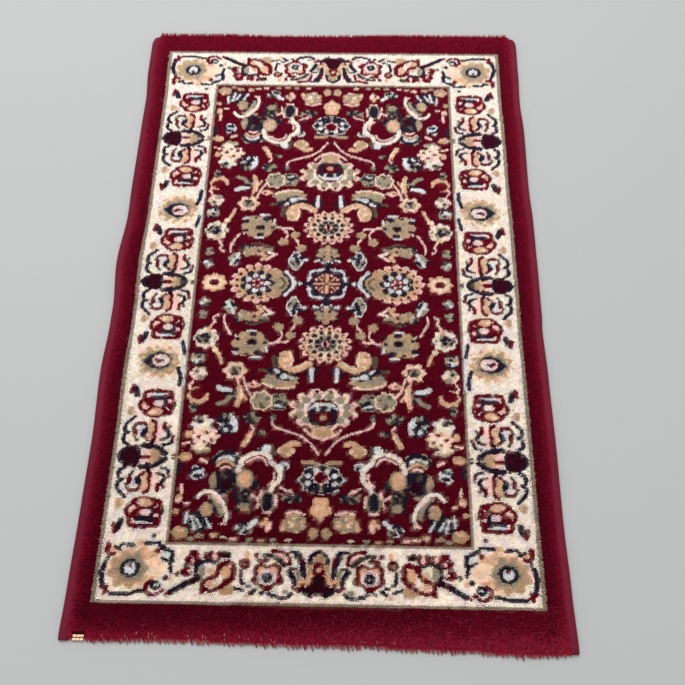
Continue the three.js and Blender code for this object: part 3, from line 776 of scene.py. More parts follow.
    def outer_sprays(self) -> None:
        """Leaves and blossoms of the outer third of the field, up to the great curl."""
        pen = self.pen
        pen.line("o", 0.9, (18.6, 62.8), (17.6, 64.8), (14, 66.4), (11, 67.4), (8.4, 68.4), (5.2, 70.6),
                 (3, 73.4), (1.4, 76))
        pen.blossom("nsd", 18.4, 61, 1.7, 1.6)
        pen.blossom("snnd", 25.9, 61.5, 3.2, 2.4, petals=0)
        pen.line("o", 0.9, (26, 64.4), (25, 66.4), (26, 68))
        pen.line("p", 2.0, (26, 68), (27, 70.4), (28.2, 72.6))
        pen.line("c", 0.9, (25.6, 68.4), (26.8, 71.4))
        pen.blossom("nsd", 22.4, 67.8, 1.9, 1.2)
        pen.blossom("wnnw", 34.6, 64.4, 4.0, 4.4, petals=7, depth=0.2)
        pen.blossom("nns", 35.8, 62, 2.6, 2.4, petals=0)
        pen.line("w", 1.4, (32.6, 61.4), (31.4, 64), (31.8, 67))
        pen.blossom("iscw", 43.6, 64.2, 4.3, 3.8, petals=7, depth=0.25)
        pen.blossom("snd", 44.8, 62.6, 1.9, 1.6, petals=0)
        pen.blossom("copi", 42.2, 69.4, 5.4, 3.8, petals=8, depth=0.25)
        for a, b in ((41.6, 67.6), (44.4, 69.6), (39.8, 70.6), (42.4, 71.8)):
            pen.blob("R", a, b, 0.9, 0.7)
        pen.blossom("scsi", 43.2, 74, 3.8, 2.4, petals=5)
        pen.blob("n", 40.8, 73.4, 1.0, 0.8)
        pen.blob("p", 48.2, 68.4, 1.3, 1.6)
        pen.line("o", 0.9, (50, 72.6), (47.4, 71.8))
        pen.blossom("tctp", 12.8, 74.8, 3.2, 2.8, petals=4)
        pen.line("p", 2.2, (12.4, 72.6), (10.6, 71.6), (8.6, 72))
        pen.blossom("nsn", 22, 74.2, 1.2, 1.2)
        pen.line("d", 1.2, (17.8, 73), (16.8, 76.6))
        pen.blossom("wws", 19.8, 74.2, 1.9, 1.9)
        pen.blossom("snsw", 34, 78.2, 4.9, 3.6, petals=7, depth=0.2)
        pen.line("n", 1.6, (38.4, 79.6), (36.6, 77), (34, 76), (31.2, 77), (29.8, 80))
        pen.line("w", 0.9, (36.8, 78.6), (34, 77.4), (31.4, 78.6))
        pen.blob("K", 33.8, 81, 3.3, 2.1)
        pen.line("p", 0.9, (37, 81.2), (35.4, 79.8), (32.6, 79.8), (31, 81))
        pen.line("o", 0.8, (35.6, 82.2), (33.6, 81.4), (32, 82.4))
        pen.line("i", 1.2, (30, 81.4), (28, 80.6))
        pen.blossom("wnw", 44, 84, 3.1, 3.0, petals=5, depth=0.25)
        pen.line("n", 1.4, (45.4, 83), (43, 82.4))
        pen.line("n", 1.4, (44.8, 85.4), (42.6, 85))
        pen.line("n", 1.5, (50.2, 80.4), (50.2, 84.4))
        pen.blossom("ptp", 48.6, 77.6, 2.6, 1.9)
        pen.line("o", 1.2, (43, 78.8), (41, 79.8))

    def great_curl(self) -> None:
        """The cream curl with the navy leaves, and the calyx on the long middle line."""
        pen = self.pen
        pen.blossom("nndn", 33.6, 87.4, 4.8, 5.2, petals=5, depth=0.15)
        pen.blossom("sts", 37.4, 87, 2.2, 3.4)
        pen.blob("m", 33, 88.6, 1.8, 2.2)
        pen.line("n", 1.9, (36.4, 84), (35.6, 89), (36.6, 92))
        pen.blossom("nnd", 30, 83.6, 2.5, 2.2, petals=0)
        pen.blossom("nnds", 27, 92.8, 3.9, 3.0, petals=6)
        pen.line("n", 1.4, (29.2, 94), (28.8, 98.6))
        pen.line("d", 1.4, (24.4, 95), (24.8, 99.2))
        pen.blossom("ndn", 23, 88.6, 1.5, 1.9, petals=0)
        pen.blossom("sst", 26.6, 97, 2.0, 1.8)
        pen.blob("s", 26.9, 86.2, 3.1, 3.9)
        pen.blossom("ptpp", 26.9, 86.4, 2.4, 3.2, petals=0)
        pen.line("o", 0.8, (24, 92.4), (21.8, 94.2), (22, 97))
        pen.line("o", 0.8, (20.6, 91), (21.8, 94.2))
        pen.blob("s", 18.4, 94.8, 2.7, 4.4)
        pen.blob("n", 18.4, 94.8, 2.0, 3.8)
        pen.line("o", 0.9, (20, 99.2), (17, 99))
        pen.line("o", 0.8, (15.6, 92.4), (15.4, 96.4))
        pen.line("i", 1.8, (29.4, 83), (28.6, 79.4), (26.6, 77.2), (24, 76), (21, 75.8), (18.6, 77.2),
                 (17.8, 79.6), (15.8, 81.2), (14.6, 83.8), (15, 86.8), (16.6, 88.6), (17.4, 90.4))
        pen.line("o", 0.8, (26.6, 79.4), (23, 77.6), (20.4, 78.4), (19.4, 80.6))
        pen.line("o", 0.9, (16.6, 84), (16.8, 87), (18.6, 88.6))
        pen.blossom("wwsw", 13.4, 81, 2.2, 1.8)
        pen.blob("n", 12.8, 81.6, 0.9, 0.7)
        pen.line("o", 0.8, (14, 89.4), (12, 90.4), (9.6, 91.4))
        pen.blob("w", 0, 86, 8.2, 6.2, petals=8, depth=0.22)
        pen.blob("n", 0, 86, 7.6, 5.6, petals=8, depth=0.2)
        self.studs("w", (0, 86), (5.0, 3.8), 8, 1.0)
        self.studs("s", (0, 86), (7.2, 5.2), 8, 0.7)
        pen.blob("o", 0, 85.4, 3.4, 3.0, petals=8, depth=0.3)
        pen.blob("K", 0, 85.2, 2.4, 2.2)
        pen.line("t", 1.5, (6.6, 79.2), (3, 79.4), (1.6, 80))
        pen.line("n", 1.0, (6.6, 80.4), (3.4, 80.6))
        pen.blossom("nns", 1.4, 90.2, 3.0, 1.5, petals=0)
        pen.blossom("snds", 10, 93.8, 3.9, 1.8, petals=5)
        pen.blob("n", 8, 92.6, 1.4, 0.9)
        pen.line("s", 1.0, (13.9, 91.8), (12.6, 92.8))

    def outer_row(self) -> None:
        """Crescent, striped fan and the blossoms along the field's end."""
        pen = self.pen
        pen.line("s", 2.2, (38.4, 93.4), (36, 96.4), (34.4, 100))
        pen.line("n", 1.1, (38.4, 94.6), (36.8, 97), (35.6, 100))
        pen.line("i", 1.4, (42.6, 93.6), (41, 91.6), (38.4, 91.2), (35.6, 93.2), (33.6, 96.4),
                 (32.4, 100), (32.8, 103.4))
        pen.line("o", 0.8, (37.4, 92.8), (34.8, 95.8))
        pen.blossom("tpst", 39.4, 98.2, 2.5, 2.8)
        pen.blossom("nnns", 42, 102.6, 4.9, 3.9, petals=7, depth=0.15)
        pen.blob("t", 39.8, 99.2, 1.6, 1.9)
        pen.line("w", 0.9, (46, 99.4), (46.2, 103.4))
        pen.line("w", 0.9, (44.2, 101), (43, 105.4))
        pen.line("w", 0.9, (42.6, 101.8), (40.8, 104.8))
        pen.line("w", 0.9, (39.2, 102), (37.4, 105.2))
        pen.blossom("tpts", 47.8, 107, 3.2, 2.4)
        pen.blossom("tst", 41, 108.2, 2.0, 1.0)
        pen.blossom("tct", 36.2, 107.8, 1.6, 1.1)
        pen.line("o", 1.1, (48.8, 89), (48.6, 92))
        pen.blossom("tpo", 49.2, 94.2, 1.5, 1.9)
        pen.blossom("tp", 50, 99, 1.3, 1.1)
        pen.blossom("wnsw", 25.8, 105, 3.2, 2.8, petals=5, depth=0.25)
        pen.line("n", 1.2, (27.6, 104), (25.6, 103.4))
        pen.line("n", 1.2, (26, 106.6), (24.4, 105.8))
        pen.line("w", 1.5, (23.6, 103.4), (22, 102.2))
        pen.blossom("popR", 18.2, 103.6, 2.5, 2.8, petals=4, depth=0.35)
        pen.blob("p", 12.9, 104.8, 1.0, 1.2)
        pen.blossom("tcts", 8.8, 102.8, 4.5, 4.0, petals=7, depth=0.2)
        pen.line("o", 0.8, (5.4, 99.6), (8.4, 98.6), (11.4, 99.2))
        pen.blob("p", 0, 97, 3.9, 4.8, petals=5, depth=0.25, turn=90)
        pen.blossom("pctp", 0, 97, 2.6, 3.6, petals=0)
        pen.blossom("tst", 2.2, 106.6, 1.9, 2.3)
        pen.blossom("ts", 33.5, 92.8, 1.1, 0.9, petals=0)
        for yarn, a, b in (("s", 24, 109.2), ("t", 20, 109.4), ("c", 33, 108.6), ("o", 29.6, 109),
                           ("s", 16, 109.2), ("o", 33.4, 103.6), ("o", 11.4, 90.6), ("o", 46.6, 96),
                           ("s", 44, 109.2), ("c", 10.6, 109.2)):
            pen.blob(yarn, a, b, 1.3, 0.6)

    def draw(self) -> None:
        """Works the whole field."""
        for motif in (self.medallion, self.side_palmette, self.side_sprays, self.long_rosette,
                      self.middle_sprays, self.long_palmette, self.outer_sprays, self.great_curl,
                      self.outer_row):
            motif()


def draft_pattern() -> Chart:
    """Drafts the pattern's quarter: the field first and the border over its edge.

    Returns:
        The finished chart.
    """
    chart = Chart()
    FieldDraft(Pen(chart)).draw()
    BorderDraft(chart).draw()
    return chart


class Wire:
    """A value that runs from a node's output, so that shader maths reads as plain expressions."""

    def __init__(self, graph: "Graph", socket: bpy.types.NodeSocket) -> None:
        """Keeps the graph and the output socket."""
        self.graph = graph
        self.socket = socket

    def maths(self, operation: str, first: "Wire | float", second: "Wire | float") -> "Wire":
        """Adds a Math node for one operation on two values."""
        return self.graph.add("ShaderNodeMath", {"operation": operation}, {0: first, 1: second})

    def __add__(self, other: "Wire | float") -> "Wire":
        """Sum."""
        return self.maths("ADD", self, other)

    def __radd__(self, other: float) -> "Wire":
        """Sum with the number first."""
        return self.maths("ADD", other, self)

    def __sub__(self, other: "Wire | float") -> "Wire":
        """Difference."""
        return self.maths("SUBTRACT", self, other)

    def __rsub__(self, other: float) -> "Wire":
        """Difference with the number first."""
        return self.maths("SUBTRACT", other, self)

    def __mul__(self, other: "Wire | float") -> "Wire":
        """Product."""
        return self.maths("MULTIPLY", self, other)

    def __rmul__(self, other: float) -> "Wire":
        """Product with the number first."""
        return self.maths("MULTIPLY", other, self)


class Graph:
    """A new material and its nodes."""

    def __init__(self, name: str) -> None:
        """Makes an empty material.

        Args:
            name: Name of the material.
        """
        self.material = bpy.data.materials.new(name)
        self.material.use_nodes = True
        self.nodes = self.material.node_tree.nodes
        self.nodes.clear()

    def node(self, kind: str, settings: dict, inputs: dict) -> bpy.types.Node:
        """Adds a node.

        Args:
            kind: Blender's name of the node type.
            settings: Its own settings, such as a Math node's operation, which are set before its sockets.
            inputs: A number, colour or wire for each input socket, by name or number.

        Returns:
            The node.
        """
        node = self.nodes.new(kind)
        for key, value in settings.items():
            setattr(node, key, value)
        for key, value in inputs.items():
            if isinstance(value, Wire):
                self.material.node_tree.links.new(value.socket, node.inputs[key])
            else:
                node.inputs[key].default_value = value
        return node

    def add(self, kind: str, settings: dict, inputs: dict, output: int | str = 0) -> Wire:
        """Adds a node and gives one of its outputs as a wire."""
        return Wire(self, self.node(kind, settings, inputs).outputs[output])

    def noise(self, scale: float, detail: float, stretch: tuple[float, float, float] = (1, 1, 1)) -> Wire:
        """Soft noise in the piece's own frame.

        Args:
            scale: Waves per metre.
            detail: How many finer waves are added.
            stretch: Below 1 where the noise is drawn out along an axis.

        Returns:
            The noise.
        """
        place = self.add("ShaderNodeTexCoord", {}, {}, "Object")
        where = self.add("ShaderNodeMapping", {}, {"Vector": place, "Scale": stretch})
        return self.add("ShaderNodeTexNoise", {}, {"Vector": where, "Scale": scale, "Detail": detail}, "Fac")

    def tinted(self, colour: "Wire | tuple", amount: Wire) -> Wire:
        """A colour made lighter or darker by an amount about 1."""
        return self.add("ShaderNodeVectorMath", {"operation": "SCALE"}, {0: colour, "Scale": amount})

    def mixed(self, first: "Wire | tuple", second: "Wire | tuple", share: Wire) -> Wire:
        """A blend of two colours by a share from 0 to 1."""
        colours = {"Factor": share, "A": first, "B": second}
        return self.add("ShaderNodeMix", {"data_type": "RGBA"}, colours, "Result")

    def bump(self, height: Wire, strength: float, depth: float) -> Wire:
        """A normal that follows a height from 0 to 1 of the given depth in metres."""
        return self.add("ShaderNodeBump", {}, {"Height": height, "Strength": strength, "Distance": depth})

    def finish(self, inputs: dict) -> bpy.types.Material:
        """Closes the graph with the surface shader.

        Args:
            inputs: A number, colour or wire for each input of the shader that isn't left as it is.

        Returns:
            The material.
        """
        surface = self.add("ShaderNodeBsdfPrincipled", {}, inputs)
        self.node("ShaderNodeOutputMaterial", {}, {"Surface": surface})
        return self.material


@dataclass(frozen=True)
class YarnFinish:
    """Fuzzy acrylic yarn that takes its colour from the piece's own colour attribute, the dyed colour with
    painted shade and painted light in it.
    """

    name: str = "pile yarn"
    attribute: str = "yarn"
    fibre_scale: float = 1500.0
    fibre_stretch: tuple[float, float, float] = (1, 1, 0.35)
    fibre_contrast: float = 0.5
    fibre_depth: float = 0.0006
    fibre_relief: float = 0.6
    cloud_scale: float = 14.0
    cloud_contrast: float = 0.16
    roughness: float = 0.92
    gloss: float = 0.05
    sheen: float = 0.1
    sheen_roughness: float = 0.5
    sheen_colour: tuple[int, int, int] = (214, 150, 146)

    def material(self) -> bpy.types.Material:
        """Makes the material.

        Returns:
            The material.
        """
        graph = Graph(self.name)
        dyed = graph.add("ShaderNodeAttribute", {"attribute_name": self.attribute}, {}, "Color")
        fibres = graph.noise(self.fibre_scale, 3.0, self.fibre_stretch)
        clouds = graph.noise(self.cloud_scale, 3.0)
        amount = (1 - self.fibre_contrast / 2 + self.fibre_contrast * fibres) * (
            1 - self.cloud_contrast / 2 + self.cloud_contrast * clouds
        )
        return graph.finish({
            "Base Color": graph.tinted(dyed, amount),
            "Roughness": self.roughness,
            "Specular IOR Level": self.gloss,
            "Sheen Weight": self.sheen,
            "Sheen Roughness": self.sheen_roughness,
            "Sheen Tint": (*linear(*self.sheen_colour), 1.0),
            "Normal": graph.bump(fibres, self.fibre_relief, self.fibre_depth),
        })


@dataclass(frozen=True)
class PlainYarnFinish:
    """Plain dyed yarn of one colour, clouded between two shades: the overcast edges and the backing."""

    name: str
    colour: tuple[int, int, int]
    shade: tuple[int, int, int]
    roughness: float = 0.85
    gloss: float = 0.1
    sheen: float = 0.15
    sheen_roughness: float = 0.4
    fibre_scale: float = 1800.0
    fibre_stretch: tuple[float, float, float] = (0.3, 1, 1)
    fibre_depth: float = 0.0004
    fibre_relief: float = 0.5
    cloud_scale: float = 30.0
    cloud_stretch: tuple[float, float, float] = (1, 0.3, 1)

    def material(self) -> bpy.types.Material:
        """Makes the material.

        Returns:
            The material.
        """
        graph = Graph(self.name)
        fibres = graph.noise(self.fibre_scale, 3.0, self.fibre_stretch)
        clouds = graph.noise(self.cloud_scale, 2.0, self.cloud_stretch)
        lit = clouds * 0.7 + fibres * 0.5 - 0.1
        return graph.finish({
            "Base Color": graph.mixed((*linear(*self.shade), 1), (*linear(*self.colour), 1), lit),
            "Roughness": self.roughness,
            "Specular IOR Level": self.gloss,
            "Sheen Weight": self.sheen,
            "Sheen Roughness": self.sheen_roughness,
            "Sheen Tint": (*linear(*self.colour), 1.0),
            "Normal": graph.bump(fibres, self.fibre_relief, self.fibre_depth),
        })


@dataclass(frozen=True)
class FloorFinish:
    """Plain pale floor."""

    name: str = "plain floor"
    colour: tuple[float, float, float] = (0.328, 0.328, 0.325)
    roughness: float = 0.9
    gloss: float = 0.1

    def material(self) -> bpy.types.Material:
        """Makes the material.

        Returns:
            The material.
        """
        return Graph(self.name).finish({
            "Base Color": (*self.colour, 1.0),
            "Roughness": self.roughness,
            "Specular IOR Level": self.gloss,
        })


@dataclass(frozen=True)
class Outline:
    """The rug's slightly uneven outline: the same tables as the CAD source, in millimetres.

    A row of side_rows is a place along, and how far out the left and the right side lie there. A row of
    end_rows is a place across, and where the loose tips of the near and the far end reach there.
    """

    shift: tuple[float, float] = (0.1, 0.2)
    side_rows: tuple = (
        (-465, 303.2, 304.8), (-400, 301.8, 303.0), (-320, 300.8, 301.4), (-225, 300.2, 302.0),
        (-130, 303.2, 301.3), (-62, 300.3, 299.6), (-36, 300.2, 301.0), (38, 305.0, 301.8),
        (118, 299.4, 302.2), (165, 300.2, 300.6), (275, 300.2, 302.2), (330, 299.8, 300.2),
        (392, 303.4, 302.2), (462, 303.6, 303.2),
    )
    end_rows: tuple = (
        (-290, -464.0, 470.5), (-240, -463.5, 470.0), (-175, -462.8, 471.0), (-100, -463.8, 468.2),
        (-20, -466.6, 468.6), (60, -466.0, 471.4), (140, -468.2, 472.4), (200, -469.6, 472.0),
        (246, -473.0, 472.2), (290, -470.0, 473.4),
    )
    binding_width: float = 13.0
    side_gap: float = 0.5
    near_depth: float = 12.4
    far_depth: float = 7.9
    near_tips: float = 3.4
    far_tips: float = 2.6
    bare_spot: tuple[float, float] = (-279.0, 13.2)

    def side(self, y: np.ndarray, sign: int) -> np.ndarray:
        """Outer edge of the binding on one side, with a soft turn at every row.

        Args:
            y: Places along, in millimetres.
            sign: -1 for the left side and 1 for the right.

        Returns:
            The x of the edge at each place.
        """
        rows = np.array(self.side_rows)
        place = np.clip(np.asarray(y) - self.shift[1], rows[0, 0], rows[-1, 0])
        low = np.clip(np.searchsorted(rows[:, 0], place) - 1, 0, len(rows) - 2)
        share = np.clip((place - rows[low, 0]) / (rows[low + 1, 0] - rows[low, 0]), 0, 1)
        share = share * share * (3 - 2 * share)
        out = rows[:, 1 if sign < 0 else 2]
        return sign * (out[low] + (out[low + 1] - out[low]) * share) + self.shift[0]

    def cloth_side(self, y: np.ndarray, sign: int) -> np.ndarray:
        """Edge of the cloth on one side."""
        return self.side(y, sign) - sign * (self.binding_width + self.side_gap)

    def near(self, x: np.ndarray) -> np.ndarray:
        """Line that the loose tips reach at the near end."""
        rows = np.array(self.end_rows)
        return np.interp(np.asarray(x) - self.shift[0], rows[:, 0], rows[:, 1]) + self.shift[1]

    def far(self, x: np.ndarray) -> np.ndarray:
        """Line that the loose tips reach at the far end."""
        rows = np.array(self.end_rows)
        return np.interp(np.asarray(x) - self.shift[0], rows[:, 0], rows[:, 2]) + self.shift[1]

    def cloth_near(self, x: np.ndarray) -> np.ndarray:
        """Near end of the cloth."""
        return self.near(x) + self.near_depth

    def cloth_far(self, x: np.ndarray) -> np.ndarray:
        """Far end of the cloth."""
        return self.far(x) - self.far_depth


def mesh_object(name: str, mesh: bpy.types.Mesh, *materials: bpy.types.Material) -> bpy.types.Object:
    """Puts a mesh in the scene at the origin.

    Args:
        name: Name of the piece.
        mesh: Its mesh.
        materials: Its materials, in the order that its faces count them.

    Returns:
        The piece.
    """
    piece = bpy.data.objects.new(name, mesh)
    bpy.context.scene.collection.objects.link(piece)
    for material in materials:
        mesh.materials.append(material)
    return piece


def mesh_from(name: str, shape: bmesh.types.BMesh) -> bpy.types.Mesh:
    """Ends a bmesh as a mesh.

    Args:
        name: Name of the mesh.
        shape: The bmesh, which is freed.

    Returns:
        The mesh.
    """
    mesh = bpy.data.meshes.new(name)
    shape.to_mesh(mesh)
    shape.free()
    return mesh


def close_shape(shape: bmesh.types.BMesh) -> None:
    """Closes the open rims of a bmesh and turns its faces outwards."""
    bmesh.ops.holes_fill(shape, edges=[edge for edge in shape.edges if edge.is_boundary], sides=0)
    bmesh.ops.recalc_face_normals(shape, faces=shape.faces)


def vertex_places(mesh: bpy.types.Mesh) -> np.ndarray:
    """Places of a mesh's corners.

    Args:
        mesh: The mesh.

    Returns:
        An array with a row for each corner, in metres.
    """
    places = np.empty(len(mesh.vertices) * 3, dtype=np.float64)
    mesh.vertices.foreach_get("co", places)
    return places.reshape(-1, 3)


class Zone(Enum):
    """Parts of the rug that carry tufts."""

    CLOTH = "cloth"
    NEAR = "near end"
    FAR = "far end"


@dataclass(frozen=True)
class Weave:
    """Spacing of the tufts and place of the pattern; beyond warp_from its columns follow the uneven side."""

    pitch_x: float = 3.6
    pitch_y: float = 3.2
    middle: tuple[float, float] = (0.1, 5.2)
    columns: int = 80
    rows: int = 150
    warp_from: float = 60.0
    side_gap: float = 0.7
    end_gap: float = 1.2
    near_limit: float = -6.4
    far_limit: float = -4.4

    def grid(self, outline: Outline, zone: Zone) -> tuple[np.ndarray, np.ndarray, np.ndarray, np.ndarray]:
        """Places of the tufts of one zone.

        Args:
            outline: The rug's outline.
            zone: The part of the rug that the tufts stand on.

        Returns:
            The x and y of every tuft in millimetres, and its column and row counted from the middle lines.
        """
        column, row = np.meshgrid(np.arange(-self.columns, self.columns), np.arange(-self.rows, self.rows))
        column, row = column.ravel(), row.ravel()
        x = (column + 0.5) * self.pitch_x + self.middle[0]
        y = (row + 0.5) * self.pitch_y + self.middle[1]
        outwards = np.clip((np.abs(column + 0.5) - self.warp_from) / (self.columns - self.warp_from), 0, 1)
        for sign in (-1, 1):
            edge = outline.cloth_side(y, sign) - sign * self.side_gap
            outermost = sign * (self.columns - 0.5) * self.pitch_x + self.middle[0]
            here = np.sign(column + 0.5) == sign
            x = np.where(here, x + (edge - outermost) * outwards ** 2, x)
        near, far = y - outline.cloth_near(x), outline.cloth_far(x) - y
        inside = (near > self.end_gap) & (far > self.end_gap)
        if zone is Zone.NEAR:
            spot, width = outline.bare_spot
            inside = (near <= self.end_gap) & (near > self.near_limit) & (np.abs(x - spot) > width / 2)
        elif zone is Zone.FAR:
            inside = (far <= self.end_gap) & (far > self.far_limit)
        return x[inside], y[inside], column[inside], row[inside]


@dataclass(frozen=True)
class Strand:
    """Shape of one cut strand of yarn: a slim three-sided cone, with rings along it where it bends."""

    rings: int = 0
    fullness: float = 0.0

    def shape(self) -> tuple[np.ndarray, np.ndarray]:
        """Makes the strand with its foot at height 0 and its tip at 1, fuller than a cone where asked.

        Returns:
            Its corners and its triangles.
        """
        shape = bmesh.new()
        bmesh.ops.create_cone(shape, cap_ends=False, segments=3, radius1=1.0, radius2=0.0, depth=1.0,
                              matrix=Matrix.Translation((0, 0, 0.5)))
        bmesh.ops.remove_doubles(shape, verts=shape.verts, dist=1e-5)
        for ring in range(self.rings):
            cut = shape.verts[:] + shape.edges[:] + shape.faces[:]
            height = (ring + 1) / (self.rings + 1)
            bmesh.ops.bisect_plane(shape, geom=cut, plane_co=(0, 0, height), plane_no=(0, 0, 1))
        bmesh.ops.triangulate(shape, faces=shape.faces)
        shape.verts.ensure_lookup_table()
        shape.verts.index_update()
        corners = np.array([vert.co for vert in shape.verts])
        faces = np.array([[vert.index for vert in face.verts] for face in shape.faces])
        shape.free()
        if self.fullness:
            corners[:, :2] *= np.clip(1 - corners[:, 2:], 0.1, 1) ** -self.fullness
        return corners, faces


@dataclass(frozen=True)
class Tufting:
    """Joins many strands into one mesh, and dresses it; low and high are the corners of the rug's box."""

    material: bpy.types.Material
    low: Vector
    high: Vector

    def join(self, name: str, faces: np.ndarray, places: np.ndarray, colours: np.ndarray) -> bpy.types.Object:
        """Makes one piece of many strands of the same make.

        Args:
            name: Name of the piece.
            faces: Triangles of one strand.
            places: Corners of every strand, in millimetres.
            colours: Scene-linear colour of every corner.

        Returns:
            The piece.
        """
        count, size = places.shape[:2]
        tiled = (faces[None] + (np.arange(count) * size)[:, None, None]).reshape(-1, 3)
        mesh = bpy.data.meshes.new(name)
        mesh.vertices.add(count * size)
        mesh.vertices.foreach_set("co", (places * MM).reshape(-1).astype(np.float32))
        mesh.loops.add(tiled.size)
        mesh.loops.foreach_set("vertex_index", tiled.ravel().astype(np.int32))
        mesh.polygons.add(len(tiled))
        mesh.polygons.foreach_set("loop_start", np.arange(0, tiled.size, 3, dtype=np.int32))
        mesh.update(calc_edges=True)
        mesh.shade_smooth()
        return self.dress(name, mesh, colours.reshape(-1, 3))

    def dress(self, name: str, mesh: bpy.types.Mesh, colours: np.ndarray) -> bpy.types.Object:
        """Gives a mesh its yarn colours, its material and a map laid over it from straight above.

        Args:
            name: Name of the piece.
            mesh: Its mesh.
            colours: Scene-linear colour of every corner.

        Returns:
            The piece.
        """
        filled = np.ones((len(mesh.vertices), 4), dtype=np.float32)
        filled[:, :3] = colours
        # The yarn attribute holds the dyed colours with any painted shade and painted light worked into them
        mesh.color_attributes.new("yarn", "FLOAT_COLOR", "POINT").data.foreach_set("color", filled.ravel())
        corners = np.empty(len(mesh.loops), dtype=np.int32)
        mesh.loops.foreach_get("vertex_index", corners)
        low, high = self.low, self.high
        flat = (vertex_places(mesh)[:, :2] - (low.x, low.y)) / (high.x - low.x, high.y - low.y)
        mesh.uv_layers.new(name="OFBake").data.foreach_set("uv", flat[corners].astype(np.float32).ravel())
        return mesh_object(name, mesh, self.material)


def shaded(colours: np.ndarray, up: np.ndarray, depth: float, floor: float) -> np.ndarray:
    """Paints shade into yarn colours towards the root: a deeper colour where light has passed through more
    fibre, and darker where the strands shade each other.

    Args:
        colours: Scene-linear colours at the tip.
        up: Share of the way up the strand, 0 at its foot and 1 at its tip.
        depth: How much stronger the colour is at the foot.
        floor: Brightness that is left at the foot.

    Returns:
        The colours at that height.
    """
    return np.clip(colours, 1e-4, None) ** (1 + depth * (1 - up)) * (floor + (1 - floor) * up)


def closed_slab(name: str, columns: int, rows: int, place: Callable) -> bpy.types.Mesh:
    """Makes a closed slab with a flat foot from a formula for its top.

    Args:
        name: Name of the mesh.
        columns: Faces across.
        rows: Faces along.
        place: Gives the top's x, y and z in millimetres from arrays of shares 0 to 1 across and along.

    Returns:
        The mesh, in metres.
    """
    shape = bmesh.new()
    bmesh.ops.create_grid(shape, x_segments=columns, y_segments=rows, size=0.5)
    shares = np.array([vert.co for vert in shape.verts]) + 0.5
    top = np.stack(place(shares[:, 0], shares[:, 1]), -1) * MM
    for vert, spot in zip(shape.verts, top):
        vert.co = spot
    rim = [edge for edge in shape.edges if edge.is_boundary]
    for item in bmesh.ops.extrude_edge_only(shape, edges=rim)["geom"]:
        if isinstance(item, bmesh.types.BMVert):
            item.co.z = FOOT * MM
    close_shape(shape)
    return mesh_from(name, shape)


@dataclass(frozen=True)
class Rim:
    """How the pile changes towards one rim: it leans outwards, its colour is painted brighter there as
    painted light, and it is paler.
    """

    lean: float
    painted_light: float
    fray: float


@dataclass(frozen=True)
class PaintedShadeBand:
    """A line along a rim where dark pile is painted darker as painted shade: how much, how far in from the
    rim and how wide.
    """

    depth: float
    middle: float
    width: float

    def share(self, distance: np.ndarray) -> np.ndarray:
        """How much painted shade darkens the colour at some distances from the rim."""
        return self.depth * np.exp(-((distance - self.middle) / self.width) ** 2)


